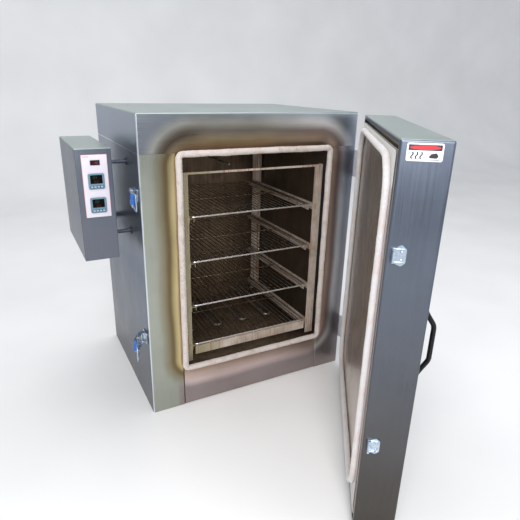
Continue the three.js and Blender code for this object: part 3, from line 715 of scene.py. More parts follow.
def build_cabinet():
    low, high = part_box("right_side_panel")
    line = [(low.x, FRONT + 20 * MM), (low.x, FRONT), (high.x, FRONT), (high.x, high.y),
            (high.x - 30 * MM, high.y)]
    right = lambda bm: folded_sheet(bm, line, "z", low.z, high.z)
    piece("right_side_skin", right, STEEL_V, "cabinet", ["right_side_panel"])
    piece("left_side_skin", mirrored(right), STEEL_V, "cabinet", ["left_side_panel"])

    low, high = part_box("front_bottom_rail")
    line = [(FRONT + 30 * MM, low.z), (FRONT, low.z), (FRONT, high.z), (FRONT + 20 * MM, high.z)]
    rail = lambda bm: folded_sheet(bm, line[::-1], "x", low.x, high.x)
    piece("front_rail_skin", rail, STEEL_H, "cabinet", ["front_bottom_rail"])

    def cap(bm):
        crate(bm, CAP_LOW, CAP_HIGH, BEND + SHEET, 5, lambda p: p.z > CAP_LOW.z + 0.001)
        bottom = [face for face in bm.faces if face.normal.z < -0.9]
        bmesh.ops.delete(bm, geom=bottom, context="FACES")
    lid = piece("top_cap_skin", cap, STEEL_H, "cabinet", ["top_cap"])
    thicken(lid, SHEET)

    low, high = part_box("back_panel")
    def back(bm):
        pillow(bm, (low.x, high.x, low.z, high.z), 3 * MM, "y", low.y, high.y, 0.6 * MM)
    piece("back_skin", back, BACK_STEEL, "cabinet", ["back_panel"])
    inset = 14 * MM
    places = []
    for k in range(5):
        z = low.z + inset + (high.z - low.z - 2 * inset) * k / 4
        places += [Vector((x, high.y, z)) for x in (low.x + inset + 32 * MM, high.x - inset - 32 * MM)]
    for k in range(1, 4):
        x = low.x + (high.x - low.x) * k / 4
        places += [Vector((x, high.y, z)) for z in (low.z + inset, high.z - inset)]
    screw_set("back_screws", places, "y", 1, 3.2 * MM, 1.4 * MM)


# ---------- ropes ----------
def loop_path(half_x, low, high, centre_x, y, radius):
    """A rope's way round a rounded rectangle, from its butt joint in the bottom run and back to it."""
    corners = [
        (centre_x + 0.15, y, low), (centre_x + half_x, y, low), (centre_x + half_x, y, high),
        (centre_x - half_x, y, high), (centre_x - half_x, y, low),
    ]
    return fillet([*corners, Vector(corners[0]) + Vector((-0.001, 0, 0))], radius, 14)


def uneven(path, seed, amount=1.3 * MM):
    """A path that wanders a little, as a rope does between its stitches."""
    result = []
    for p in path:
        sway = noise.noise_vector(Vector((p.x * 14 + seed, p.z * 14, seed)))
        result.append(p + Vector((sway.x, 0, sway.z)) * amount)
    return result


def knit(size, sides, seed, lumps=0.9 * MM):
    """The cross-section of a knitted rope: ribs that wind both ways, and slow lumps."""
    ribs, pitch, depth = 5, 13 * MM, 0.55 * MM
    def ring(_, s):
        lump = lumps * noise.noise(Vector((s * 26, seed, 0.5))) - 0.3 * MM
        points = []
        for k in range(sides):
            t = math.tau * k / sides
            tuft = 0.7 * MM * noise.noise(Vector((s * 120, 2.2 * math.cos(t) + seed, 2.2 * math.sin(t))))
            one = math.sin(ribs * t + math.tau * s / pitch)
            two = math.sin(ribs * t - math.tau * s / pitch)
            r = size / 2 - depth + lump + tuft + depth * max(one, two)
            points.append((r * math.cos(t), r * math.sin(t)))
        return points
    return ring


def build_opening_rope():
    size = ROPE_HIGH.y - ROPE_LOW.y
    r = size / 2
    path = loop_path(OPENING_HALF.x - r, ROPE_LOW.z + r, ROPE_HIGH.z - r, OPENING.x, OPENING.y, 13 * MM)
    path = uneven(resample(path, 2.4 * MM), 3.0)
    def rope(bm):
        sweep(bm, path, knit(size, 26, 4.0), up=Vector((0, 1, 0)))
    piece("opening_rope", rope, ROPE, "cabinet", ["opening_rope_gasket"], sharp=80)


def build_door_rope():
    low, high = box_in(DOOR, "door_rope_gasket")
    size = high.y - low.y
    edge = SHELL_HIGH.x - high.x
    inset, corner = edge + 20 * MM, 85 * MM  # from the door's edge to the rope's centre
    half_x = SHELL_HIGH.x - inset
    bottom, top = low.z + 46 * MM, high.z - 18 * MM
    path = uneven(resample(loop_path(half_x, bottom, top, 0, low.y + size / 2, corner), 2.4 * MM), 8.0)
    def rope(bm):
        sweep(bm, path, knit(size, 24, 9.0, 0.7 * MM), up=Vector((0, 1, 0)))
    piece("door_rope", rope, DOOR_ROPE, "door", ["door_rope_gasket"], DOOR, sharp=80)

    def tail(bm):
        # a flat skirt from under the rope out to square corners, puckered a little along its run
        under = resample(loop_path(half_x, bottom, top, 0, low.y, corner), 6 * MM, True)
        middle = (bottom + top) / 2
        rows = []
        for p in under:
            dx, dz = p.x / half_x, (p.z - middle) / ((top - bottom) / 2)
            square = max(abs(dx), abs(dz))
            limit_z = high.z if dz > 0 else low.z
            outer = Vector((high.x * dx / square, p.y, middle + abs(limit_z - middle) * dz / square))
            row = []
            for k in range(7):
                t = k / 6
                lift = 0.35 * MM * math.sin(t * math.pi) * noise.noise(Vector((p.x * 60, p.z * 60, 1)))
                q = p.lerp(outer, t)
                row.append(Vector((q.x, low.y + 0.9 * MM + lift, q.z)))
            rows.append(row)
        top_rows = [[q + Vector((0, 0.6 * MM, 0)) for q in row] for row in rows]
        rings = [row + list(reversed(upper)) for row, upper in zip(rows, top_rows)]
        skin(bm, rings, closed_path=True)
    piece("door_rope_tail", tail, TAIL, "door", matrix=DOOR, sharp=60)

    def strips(bm):
        for side in (-1, 1):
            a = side * (high.x - 9.5 * MM)
            x0, x1 = sorted((a, side * high.x))
            pillow(bm, (x0, x1, bottom - 20 * MM, top - 55 * MM), 1 * MM, "y",
                   low.y + 1.9 * MM, low.y + 3.2 * MM, 0.4 * MM)
    piece("rope_clamp_strips", strips, STRIP, "door", matrix=DOOR)
    highest, spacing = 890 * MM, 123 * MM
    places = [Vector((side * (high.x - 4.8 * MM), low.y + 3.1 * MM, highest - spacing * k))
              for k in range(7) for side in (-1, 1)]
    screw_set("clamp_strip_screws", places, "y", 1, 3 * MM, 1.5 * MM, "door", DOOR)


# ---------- chamber ----------
def build_shelves():
    for number in range(1, 5):
        node = f"wire_shelf_{number}"
        low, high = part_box(node)
        frame_r, fine_r = 3 * MM, 1.5 * MM
        z = low.z + frame_r
        x, y0, y1 = high.x - frame_r, low.y + frame_r, high.y - frame_r
        def shelf(bm):
            corners = [(-x, y0, z), (x, y0, z), (x, y1, z), (-x, y1, z)]
            tube(bm, fillet(corners, 12 * MM, 6, closed=True), frame_r, 12, closed=True, up=Vector((0, 0, 1)))
            tube(bm, [(-x, (y0 + y1) / 2, z), (0, (y0 + y1) / 2, z), (x, (y0 + y1) / 2, z)], frame_r, 10)
            count = 24
            for k in range(count):
                at = -x + 2 * x * (k + 1) / (count + 1)
                lean = 0.4 * MM * noise.noise(Vector((k * 3.1, number * 7.7, 0)))
                line = [(at, y0 - fine_r, z + 2.6 * MM), (at, y0 + 1 * MM, z + 3.5 * MM),
                        (at + lean, (y0 + y1) / 2, z + 3.5 * MM), (at, y1 - 1 * MM, z + 3.5 * MM),
                        (at, y1 + fine_r, z + 2.6 * MM)]
                tube(bm, line, fine_r, 8)
        piece(f"wire_grid_{number}", shelf, WIRE, f"shelf_{number}", [node], sharp=50)


def build_elements():
    for number in range(1, 5):
        node = f"heating_element_{number}"
        low, high, middle = box_and_middle(node)
        r, z = (high.z - low.z) / 2 / math.cos(math.pi / 10), middle.z
        x0, x1 = low.x + r, high.x - r
        bend = (x1 - x0) / 2
        centre = Vector(((x0 + x1) / 2, low.y + r + bend, z))
        turn = [centre + Vector((-bend * math.cos(a), -bend * math.sin(a), 0))
                for a in [math.pi * k / 16 for k in range(17)]]
        path = [Vector((x0, high.y, z)), *turn, Vector((x1, high.y, z))]
        piece(f"element_tube_{number}", lambda bm: tube(bm, path, r, 16, up=Vector((0, 0, 1))), SHEATH,
              "cabinet", [node], sharp=50)
    low, high, middle = box_and_middle("temperature_probe")
    r, x, z = (high.z - low.z) / 2, middle.x, middle.z
    profile = [(0.2 * MM, low.y), (r * 0.7, low.y + 0.5 * MM), (r, low.y + 2.5 * MM), (r, high.y)]
    piece("probe_sheath", lambda bm: lathe(bm, profile, (x, 0, z), "y", 20), SHEATH, "cabinet",
          ["temperature_probe"], sharp=50)


def dress_node(name, material, bevel=0.0):
    """A CAD node that keeps its shape, with its seams welded, edges eased and a finish."""
    obj = frame["nodes"][name]
    obj.data.materials.clear()
    obj.data.materials.append(material)
    weld = obj.modifiers.new("weld", "WELD")
    weld.merge_threshold = 0.01 * MM
    if bevel:
        ease = obj.modifiers.new("ease", "BEVEL")
        ease.width, ease.segments, ease.limit_method = bevel, 2, "ANGLE"
        ease.angle_limit = math.radians(40)
        ease.use_clamp_overlap = True


# ---------- door ----------
def build_door():
    radius = 5 * MM
    flange = 14 * MM
    def shell(bm):
        crate(bm, SHELL_LOW, SHELL_HIGH, radius, 5)
        face = max((f for f in bm.faces if f.normal.y > 0.99), key=lambda f: f.calc_area())
        bmesh.ops.inset_region(bm, faces=[face], thickness=flange - radius, use_even_offset=True)
        bmesh.ops.delete(bm, geom=[face], context="FACES")
    skin_obj = piece("door_shell", shell, DOOR_STEEL, "door", ["door_outer_shell"], DOOR)
    thicken(skin_obj, SHEET)

    low, high = box_in(DOOR, "door_inner_panel")
    def panel(bm):
        pillow(bm, (low.x, high.x, low.z, high.z), 4 * MM, "y", low.y, high.y, 2.5 * MM)
    piece("door_plug_panel", panel, PANEL_STEEL, "door", ["door_inner_panel"], DOOR)

    low, high = box_in(DOOR, "door_handle")
    bar = (high.x - low.x) / 2
    x, face, out = (low.x + high.x) / 2, high.y, low.y + bar
    z0, z1 = low.z + bar, high.z - bar
    bow = [(face, z0 + 4 * MM), (face - 9 * MM, z0 + 4 * MM), (out, z0 + 50 * MM), (out, z1 - 42 * MM),
           (face - 9 * MM, z1 - 3 * MM), (face, z1 - 3 * MM)]
    path = resample(fillet([(x, y, z) for y, z in bow], 30 * MM, 8), 2.5 * MM)
    total = sum((b - a).length for a, b in zip(path, path[1:]))
    def grip(bm):
        def ring(_, s):
            near = min(s, total - s)
            flare = 1 + 0.7 * math.exp(-((near / (13 * MM)) ** 2))
            return [(bar * flare * math.cos(math.tau * k / 20), bar * flare * math.sin(math.tau * k / 20))
                    for k in range(20)]
        sweep(bm, path, ring, up=Vector((1, 0, 0)))
    piece("pull_handle", grip, BLACK, "door", ["door_handle"], DOOR, sharp=60)
    build_label()
    for which in ("upper", "lower"):
        build_keeper(which)


def label_piece(name, fill, material):
    piece(name, fill, material, "door", matrix=DOOR)


def build_label():
    """A wordless sign on the door's free edge: a red oval on a dark band, over heat waves and a mound."""
    x = SHELL_LOW.x
    y0, y1 = DOOR_FACE - 83 * MM, DOOR_FACE - 14 * MM
    z0, z1 = SHELL_HIGH.z - 41 * MM, SHELL_HIGH.z - 6.5 * MM
    plate = lambda bm: pillow(bm, (y0, y1, z0, z1), 3.5 * MM, "x", x - 0.6 * MM, x + 0.2 * MM, 0.25 * MM)
    label_piece("edge_label", plate, LABEL_WHITE)
    border = 3 * MM
    def band(bm):
        pillow(bm, (y0 + border, y1 - border, z1 - border - 11 * MM, z1 - border), 1 * MM, "x",
               x - 0.75 * MM, x - 0.5 * MM, 0.1 * MM)
    label_piece("edge_label_band", band, LABEL_DARK)
    def oval(bm):
        middle, z = (y0 + y1) / 2, z1 - border - 5.5 * MM
        points = [(middle + 29 * MM * math.cos(t), z + 4.4 * MM * math.sin(t))
                  for t in [math.tau * k / 48 for k in range(48)]]
        prism(bm, points, "x", x - 0.9 * MM, x - 0.7 * MM)
    label_piece("edge_label_oval", oval, LABEL_RED)
    def waves(bm):
        for k in range(3):
            start = y1 - 28 * MM + 8.5 * MM * k
            path = [(x - 0.6 * MM, start + 1.8 * MM * math.sin(math.tau * t / 12),
                     z0 + 4.5 * MM + 13 * MM * t / 12) for t in range(13)]
            tube(bm, path, 1.3 * MM, 8)
        slab = [(y0 + a, z0 + b) for a, b in mm((29, 6.5), (11, 6), (8, 11), (13, 16.5), (22, 14.5))]
        prism(bm, flat_fillet(slab, 2.5 * MM, 4), "x", x - 0.8 * MM, x - 0.5 * MM)
        pillow(bm, (y0 + 6 * MM, y0 + 33 * MM, z0 + 2.6 * MM, z0 + 3.8 * MM), 0.3 * MM, "x",
               x - 0.8 * MM, x - 0.5 * MM, 0.1 * MM, 2)
    label_piece("edge_label_waves", waves, LABEL_DARK)


def build_keeper(which):
    """The door's half of a draw latch: a screwed plate whose front edge turns out into a lip."""
    node = f"{which}_keeper"
    low, high = box_in(DOOR, node)
    x1 = high.x
    middle = (low.z + high.z) / 2
    gauge = 2.4 * MM
    def keeper(bm):
        outline = [(low.y, middle - 15 * MM), (low.y + 9 * MM, low.z), (high.y - 9 * MM, low.z + 5 * MM),
                   (high.y - 9 * MM, high.z - 5 * MM), (low.y + 9 * MM, high.z), (low.y, middle + 15 * MM)]
        prism(bm, flat_fillet(outline, 4 * MM, 5), "x", x1 - gauge, x1)
        turn = 1.8 * MM
        curl = [(x1 - turn / 2, high.y - 11 * MM), (x1 - turn / 2, high.y - turn / 2),
                (low.x + turn / 2, high.y - turn / 2), (low.x + turn / 2, high.y - 4.5 * MM)]
        path = [Vector((p.x, p.y, middle)) for p in fillet([(a, b, 0) for a, b in curl], 1.6 * MM, 5)]
        last = len(path) - 1
        def ring(i, _):
            half = (16 - 4 * i / last) * MM
            return [(-turn / 2, -half), (turn / 2, -half), (turn / 2, half), (-turn / 2, half)]
        sweep(bm, path, ring, up=Vector((0, 0, 1)))
        for side in (-1, 1):
            # a web braces the lip above and below, from the lip's root out to the plate's far edge
            z = middle + side * 14.5 * MM
            web = [(x1 - 1 * MM, low.y + 3 * MM), (x1 - 1 * MM, high.y - 1.2 * MM),
                   (x1 - 7.2 * MM, high.y - 1.2 * MM), (x1 - 7.2 * MM, high.y - 8 * MM),
                   (x1 - 4.4 * MM, low.y + 6 * MM)]
            prism(bm, flat_fillet(web, 0.8 * MM, 4), "z", z - 1 * MM, z + 1 * MM)
    piece(f"{which}_keeper_hook", keeper, ZINC, "door", [node], DOOR)
    places = [Vector((x1 - gauge, low.y + 9 * MM, middle + s * 9 * MM)) for s in (-1, 1)]
    screw_set(f"{which}_keeper_screws", places, "x", -1, 3.6 * MM, 2 * MM, "door", DOOR)


# ---------- latches ----------
def latch_frames(which):
    """The base's, the lever's and the loop's own frames at rest: x out of the cabinet, y towards the door."""
    arm, loop = RECORD_JOINTS[f"{which}_latch_turn"], RECORD_JOINTS[f"{which}_loop_turn"]
    out = 13 * MM
    half_turn = Matrix.Rotation(math.pi, 4, "Z")
    pivot = Vector(arm["pos_m"])
    base = Matrix.Translation(pivot + Vector((out, 0, 0))) @ half_turn
    rest = -arm["range_deg"][0]
    lever = Matrix.Translation(pivot) @ half_turn @ Matrix.Rotation(math.radians(rest), 4, "Z")
    ratio = next(c["ratio"] for c in frame["record"]["behaviour"]["couplings"] if c["joint"] == loop["name"])
    swing = Matrix.Rotation(math.radians(180 + rest + ratio * rest), 4, "Z")
    return base, lever, Matrix.Translation(Vector(loop["pos_m"])) @ swing


def build_latch(which):
    base, lever, loop = latch_frames(which)
    arm_length, inner, gauge = 62 * MM, 18 * MM, 2.5 * MM
    grip_axis = (4 * MM, -arm_length + 3 * MM, 0)

    def base_shape(bm):
        pillow(bm, (-22 * MM, 24 * MM, -20 * MM, 20 * MM), 5 * MM, "x", 0.3 * MM, 2.8 * MM, 0.5 * MM)
        for z in (14 * MM, -17 * MM):
            ear = mm((1.5, -9), (9, -8), (20.5, -4), (20.5, 4), (9, 8), (1.5, 9))
            prism(bm, flat_fillet(ear, 5 * MM, 6), "z", z, z + 3 * MM)
        head = mm((0.1, -21.2), (2, -21.1), (2.5, -20.6), (2.5, 20.6), (2, 21.1), (0.1, 21.2))
        lathe(bm, head, (13 * MM, 0, 0), "z", 18)
    piece(f"{which}_latch_mount", base_shape, ZINC, "cabinet", [f"{which}_latch_base"], base)
    places = [Vector((2.7 * MM, y, 0)) for y in (-15 * MM, 17 * MM)]
    screw_set(f"{which}_latch_screws", places, "x", 1, 3.4 * MM, 1.7 * MM, matrix=base)

    def lever_shape(bm):
        outline = [*mm((-6, 6), (6, 6), (8, -30)), (8 * MM, -arm_length), (0, -arm_length),
                   *mm((-7, -24), (-7, -10))]
        for z in (inner, -inner - gauge):
            prism(bm, flat_fillet(outline, 5 * MM, 6), "z", z, z + gauge)
        z = inner + gauge
        lathe(bm, [(3 * MM, -z), (3 * MM, z)], grip_axis, "z", 14)
        for side in (-1, 1):
            knob = [(0.1 * MM, side * (z + 0.8 * MM)), (2.6 * MM, side * (z + 0.6 * MM)),
                    (3.4 * MM, side * z)]
            lathe(bm, knob, (0, 0, 0), "z", 14)
    piece(f"{which}_latch_arms", lever_shape, ZINC, f"{which}_latch_arm", [f"{which}_latch_lever"],
          lever)

    def grip_shape(bm):
        h = inner - 0.6 * MM
        half = [(3.3 * MM, -h), (5.6 * MM, -h), (6.4 * MM, -h + 1.2 * MM), (6.8 * MM, -h * 0.5)]
        profile = [*half, (6.5 * MM, 0), *[(r, -z) for r, z in reversed(half)]]
        lathe(bm, profile, grip_axis, "z", 24)
    piece(f"{which}_latch_sleeve", grip_shape, BLUE, f"{which}_latch_arm", [f"{which}_latch_grip"],
          lever)

    high = box_in(loop, f"{which}_latch_bail")[1]
    wire = 2.25 * MM
    half, reach = high.z - wire, high.y - wire
    def loop_shape(bm):
        start = inner - 1.5 * MM
        corners = [(0, 0, start), (0, 0, half), (0, reach, half), (0, reach, -half), (0, 0, -half),
                   (0, 0, -start)]
        tube(bm, fillet(corners, 9 * MM, 7), wire, 12, up=Vector((1, 0, 0)))
        for side in (-1, 1):
            nut = [(wire + 0.2 * MM, 30 * MM), *mm((4, 30), (4, 36)), (wire + 0.2 * MM, 36 * MM)]
            lathe(bm, nut, (0, 0, side * half), "y", 6)
    piece(f"{which}_latch_wire", loop_shape, ZINC, f"{which}_latch_loop", [f"{which}_latch_bail"],
          loop)


# ---------- control box ----------
SEGMENTS = {"0": "abcdef", "4": "fgbc", "5": "afgcd", "6": "afgedc", "8": "abcdefg"}


def digits(bm, text, x, z, width, height, y):
    """Seven-segment numbers on a display."""
    thin = 0.14 * width
    for i, mark in enumerate(text):
        left = x + i * width * 1.45
        right, middle, top = left + width, z + height / 2, z + height
        bars = {
            "a": (left, right, top - thin, top), "g": (left, right, middle - thin / 2, middle + thin / 2),
            "d": (left, right, z, z + thin), "f": (left, left + thin, middle, top),
            "b": (right - thin, right, middle, top), "e": (left, left + thin, z, middle),
            "c": (right - thin, right, z, middle),
        }
        for segment in SEGMENTS[mark]:
            a, b, c, d = bars[segment]
            prism(bm, [(a, c), (b, c), (b, d), (a, d)], "y", y - 0.15 * MM, y + 0.1 * MM)


def shrunk(rect, by):
    """A rectangle drawn in on every side."""
    return rect[0] + by, rect[1] - by, rect[2] + by, rect[3] - by


def build_controller(which, upper_digits, lower_digits):
    low, high, middle = box_and_middle(f"{which}_controller")
    x, z, face, cover, size = middle.x, middle.z, low.y, BOX_LOW.y, high.x - low.x
    def bezel(bm):
        pillow(bm, (low.x, high.x, low.z, high.z), 5 * MM, "y", face, cover - 0.3 * MM, 1.6 * MM, 5)
        half = 22 * MM
        inside = (x - half, x + half, z - half, z + half)
        pillow(bm, inside, 2 * MM, "y", cover - 1 * MM, high.y, 0.8 * MM, 3)
    body = piece(f"{which}_controller_case", bezel, BEZEL, "cabinet", [f"{which}_controller"])
    window = (x - 18 * MM, x + 18 * MM, z - 7 * MM, z + size / 2 - 4.5 * MM)
    key_row = (x - 19.5 * MM, x + 19.5 * MM, z - 19.8 * MM, z - 13.2 * MM)
    carve(
        body,
        lambda bm: pillow(bm, window, 2 * MM, "y", face - 3 * MM, face + 2.2 * MM, 0.4 * MM, 3),
        lambda bm: pillow(bm, key_row, 1 * MM, "y", face - 3 * MM, face + 4 * MM, 0.4 * MM, 3),
    )
    weight_normals(body)
    glass, strip = shrunk(window, 0.2 * MM), shrunk(key_row, 0.2 * MM)
    piece(f"{which}_display",
          lambda bm: pillow(bm, glass, 1.5 * MM, "y", face + 1.1 * MM, face + 2.1 * MM, 0.2 * MM, 3),
          SCREEN, "cabinet")
    piece(f"{which}_key_well",
          lambda bm: pillow(bm, strip, 1 * MM, "y", face + 3.5 * MM, face + 3.95 * MM, 0.1 * MM, 3),
          KEY_WELL, "cabinet")
    spot = face + 1.05 * MM
    def display(name, text, left, bottom, width, height, material):
        piece(f"{which}_display_{name}", lambda bm: digits(bm, text, left, bottom, width, height, spot),
              material, "cabinet")
    display("actual", upper_digits, x - 9 * MM, z + 7.5 * MM, 4.2 * MM, 8 * MM, DIGIT_GREEN)
    display("set", lower_digits, x - 6.5 * MM, z - 3.5 * MM, 3 * MM, 5.5 * MM, DIGIT_RED)
    for number in range(1, 5):
        node = f"{which}_controller_key_{number}"
        key_low, key_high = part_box(node)
        rect = (key_low.x, key_high.x, key_low.z, key_high.z)
        fill = lambda bm: pillow(bm, rect, 1.2 * MM, "y", key_low.y, key_high.y, 0.5 * MM, 3)
        piece(f"{which}_key_{number}", fill, KEYS, f"{which}_key_{number}", [node])


def build_control_box():
    low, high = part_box("control_box_shell")
    def shell(bm):
        crate(bm, low, high, 4 * MM, 4, lambda p: p.y > low.y + 0.001)
        front = [face for face in bm.faces if face.normal.y < -0.9]
        bmesh.ops.delete(bm, geom=front, context="FACES")
    case = piece("control_case", shell, BOX_STEEL, "cabinet", ["control_box_shell"])
    thicken(case, 1.5 * MM)

    def cover(bm):
        crate(bm, BOX_LOW, (BOX_HIGH.x, BOX_LOW.y + 2.6 * MM, BOX_HIGH.z), 1.3 * MM, 4)
    front = piece("control_case_cover", cover, BOX_STEEL, "cabinet", ["control_box_cover"])
    r_low, r_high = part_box("rocker_frame")
    holes = []
    for which in ("upper", "lower"):
        middle, half = box_and_middle(f"{which}_controller")[2], 22.3 * MM
        holes.append((middle.x - half, middle.x + half, middle.z - half, middle.z + half))
    holes.append((r_low.x + 2 * MM, r_high.x - 2 * MM, r_low.z + 1.5 * MM, r_high.z - 1.5 * MM))
    near, far = BOX_LOW.y - 5 * MM, BOX_LOW.y + 6 * MM
    cutters = [lambda bm, rect=rect: prism(bm, rounded_rect(*rect, 1 * MM, 2), "y", near, far)
               for rect in holes]
    carve(front, *cutters)
    weight_normals(front)

    middle = (BOX_LOW.x + BOX_HIGH.x) / 2 + 1.5 * MM
    film = (middle - 37.5 * MM, middle + 37.5 * MM, BOX_HIGH.z - 210 * MM, BOX_HIGH.z - 18 * MM)
    def overlay(bm):
        pillow(bm, film, 1.5 * MM, "y", BOX_LOW.y - 0.25 * MM, BOX_LOW.y + 0.05 * MM, 0.1 * MM)
    carve(piece("control_overlay", overlay, FILM, "cabinet"), *cutters)
    trim = 1.6 * MM
    skinned = BOX_LOW.y - 0.3 * MM
    def edging(bm):
        a0, a1, b0, b1 = film
        for rect in ((a0, a0 + trim, b0, b1), (a1 - trim * 0.6, a1, b0, b1), (a0, a1, b1 - trim * 0.6, b1),
                     (a0 + 4 * MM, a0 + 22 * MM, b1 - 8 * MM, b1 - 4 * MM)):
            pillow(bm, rect, 0.3 * MM, "y", skinned, skinned + 0.2 * MM, 0.05 * MM, 2)
    piece("control_overlay_edge", edging, FILM_EDGE, "cabinet")
    for which, actual, wanted in (("upper", "84", "850"), ("lower", "86", "800")):
        build_controller(which, actual, wanted)

    def rocker_case(bm):
        rect = (r_low.x, r_high.x, r_low.z, r_high.z)
        pillow(bm, rect, 1.5 * MM, "y", r_low.y, BOX_LOW.y - 0.3 * MM, 0.7 * MM, 3)
        inside = (r_low.x + 2.7 * MM, r_high.x - 2.7 * MM, r_low.z + 2.1 * MM, r_high.z - 2.1 * MM)
        pillow(bm, inside, 0.5 * MM, "y", BOX_LOW.y - 1 * MM, r_high.y, 0.2 * MM, 2)
    well = (r_low.x + 3.6 * MM, r_high.x - 3.6 * MM, r_low.z + 3 * MM, r_high.z - 3 * MM)
    case = piece("switch_case", rocker_case, BLACK, "cabinet", ["rocker_frame"])
    carve(case, lambda bm: pillow(bm, well, 0.6 * MM, "y", r_low.y - 3 * MM, r_high.y - 6 * MM, 0.1 * MM, 2))
    build_rocker()
    build_stand_offs()


def build_rocker():
    """The paddle: two shallow slopes that meet over an upright pin."""
    low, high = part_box("rocker_paddle")
    joint = RECORD_JOINTS["rocker_tilt"]
    pivot = Vector(joint["pos_m"])
    tilt = -joint["range_deg"][0] / 2
    place = Matrix.Translation(pivot) @ Matrix.Rotation(math.radians(tilt), 4, "Z")
    half_h = (high.z - low.z) / 2
    b_low, b_high = box_in(place, "rocker_paddle")
    w = b_high.x
    def paddle(bm):
        outline = [(-w, b_low.y), (0, b_low.y + 2 * MM), (w, b_low.y), (w - 1.5 * MM, 4 * MM), (0, 6 * MM),
                   (-w + 1.5 * MM, 4 * MM)]
        prism(bm, flat_fillet(outline, 0.8 * MM, 3), "z", -half_h, half_h)
    piece("switch_paddle", paddle, SWITCH_RED, "rocker", ["rocker_paddle"], place)


def build_stand_offs():
    for which in ("upper", "lower"):
        node = f"standoff_{which}"
        low, high, middle = box_and_middle(node)
        y, z, flange = middle.y, middle.z, (high.z - low.z) / 2
        a, b, post = low.x, high.x, flange / 2
        foot = [(0.1 * MM, 0), (flange - 0.4 * MM, 0), (flange, 0.5 * MM), (flange, 2.4 * MM),
                (post + 1 * MM, 2.9 * MM), (post, 4 * MM)]
        profile = [*[(r, a + s) for r, s in foot], *[(r, b - s) for r, s in reversed(foot)]]
        piece(f"spacer_{which}", lambda bm: lathe(bm, profile, (0, y, z), "x", 28), SHADED_SPACER_STEEL, "cabinet",
              [node])
        nut = [(post + 0.2 * MM, a + 4.5 * MM), (6.2 * MM, a + 4.5 * MM), (6.2 * MM, a + 9 * MM),
               (post + 0.2 * MM, a + 9 * MM)]
        piece(f"spacer_nut_{which}", lambda bm: lathe(bm, nut, (0, y, z), "x", 6), SCREW, "cabinet")
    low, high, middle = box_and_middle("wiring_conduit")
    y, z = middle.y, middle.z
    def conduit(bm):
        outer, bore = 10.5 * MM, 8.5 * MM
        count = 18
        start, end = BOX_HIGH.x + 9 * MM, -HALF_W - 9 * MM
        ribs = [(outer - 0.9 * MM * (k % 2), start + (end - start) * k / count) for k in range(count + 1)]
        profile = [(bore, low.x), (outer, low.x), *ribs, (outer, high.x), (bore, high.x)]
        lathe(bm, profile, (0, y, z), "x", 28)
        for a in (BOX_HIGH.x + 0.3 * MM, -HALF_W - 8 * MM):
            corners = [(outer, 0), *mm((15, 0), (15.6, 0.8), (15.6, 6.6), (15, 7.6)), (outer, 7.6 * MM)]
            lathe(bm, [(r, a + s) for r, s in corners], (0, y, z), "x", 6)
    piece("conduit_nipple", conduit, ZINC, "cabinet", ["wiring_conduit"])


# ---------- everything ----------
build_cabinet()
build_opening_rope()
build_door_rope()
build_shelves()
build_elements()
build_door()
for latch_name in ("upper", "lower"):
    build_latch(latch_name)
build_control_box()
for rack_node in ("rack_side_left", "rack_side_right", "rack_top_bar", "rack_bottom_angle"):
    dress_node(rack_node, RACK, 0.5 * MM)
dress_node("chamber_liner", LINER, 0)
dress_node("base_pan", BACK_STEEL, 0.5 * MM)
for wool_node in ("cabinet_insulation", "door_insulation"):
    dress_node(wool_node, WOOL, 0)
dress_node("power_relay", BLACK, 0.8 * MM)
for hinge_level in ("upper", "lower"):
    for half_name in ("cabinet", "door"):
        dress_node(f"{hinge_level}_hinge_{half_name}_leaf", HINGE, 0.5 * MM)


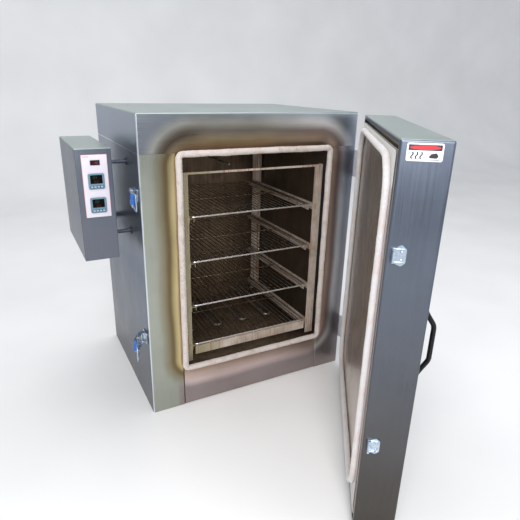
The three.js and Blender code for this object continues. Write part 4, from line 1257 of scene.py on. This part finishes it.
# ---------- stage ----------
def build_stage():
    floor_finish = Finish("studio_floor", (0.78, 0.78, 0.78), 0.7)
    clouds = floor_finish.noise(1.5, 2)
    floor_finish.feed("Base Color", floor_finish.ramp(clouds, [(0.3, 0.74), (0.7, 0.8)]))
    def ground(bm):
        size, back, rise = 9.0, 4.0, 1.2
        line = [(-size, 0), (back, 0), (back, size)]
        points = fillet([(a, b, 0) for a, b in line], rise, 12)
        skin(bm, [[Vector((x, p.x, p.y - 0.0005)) for p in points] for x in (-size, size)], closed_ring=False)
    floor = mesh_object("studio_floor", ground)
    floor.data.materials.append(floor_finish.material)
    floor.data.shade_smooth()

    world = bpy.data.worlds.new("studio")
    world.use_nodes = True
    bpy.context.scene.world = world
    back = world.node_tree.nodes["Background"]
    back.inputs["Color"].default_value = (0.92, 0.95, 1.0, 1)
    back.inputs["Strength"].default_value = 0.75

    def area(name, place, target, size, power, colour=(1, 1, 1)):
        lamp = bpy.data.lights.new(name, "AREA")
        lamp.shape, lamp.size, lamp.size_y = "RECTANGLE", size[0], size[1]
        lamp.energy, lamp.color = power, colour
        obj = bpy.data.objects.new(name, lamp)
        obj.location = place
        obj.rotation_euler = (Vector(target) - Vector(place)).to_track_quat("-Z", "Y").to_euler()
        bpy.context.scene.collection.objects.link(obj)
    area("key", (-1.6, -2.6, 2.6), (0, 0, 0.5), (1.6, 1.6), 55, (1.0, 0.98, 0.95))
    area("fill", (2.4, -2.6, 1.6), (0, 0, 0.5), (2.0, 2.0), 25, (0.95, 0.97, 1.0))
    area("front", (-0.9, -2.5, 1.35), (0.05, 0, 0.55), (0.7, 0.7), 17)
    area("top", (0.2, 0.4, 3.2), (0, 0, 0.5), (2.4, 2.4), 40)


def build_camera():
    """The photograph's viewpoint."""
    azimuth, elevation, roll = map(math.radians, (-28.25, 20.37, -1.48))
    forward = Vector((-math.sin(azimuth) * math.cos(elevation), math.cos(azimuth) * math.cos(elevation),
                      -math.sin(elevation)))
    right = Vector((math.cos(azimuth), math.sin(azimuth), 0))
    down = forward.cross(right)
    across = right * math.cos(roll) + down * math.sin(roll)
    below = down * math.cos(roll) - right * math.sin(roll)
    camera = bpy.data.cameras.new("camera")
    camera.sensor_width, camera.lens = 36.0, 32.89
    obj = bpy.data.objects.new("camera", camera)
    turn = Matrix((across, -below, -forward)).transposed()
    obj.matrix_world = Matrix.Translation((-0.7324, -1.6996, 1.1007)) @ turn.to_4x4()
    bpy.context.scene.collection.objects.link(obj)
    bpy.context.scene.camera = obj


build_stage()
build_camera()
bpy.context.scene.view_settings.view_transform = "Standard"
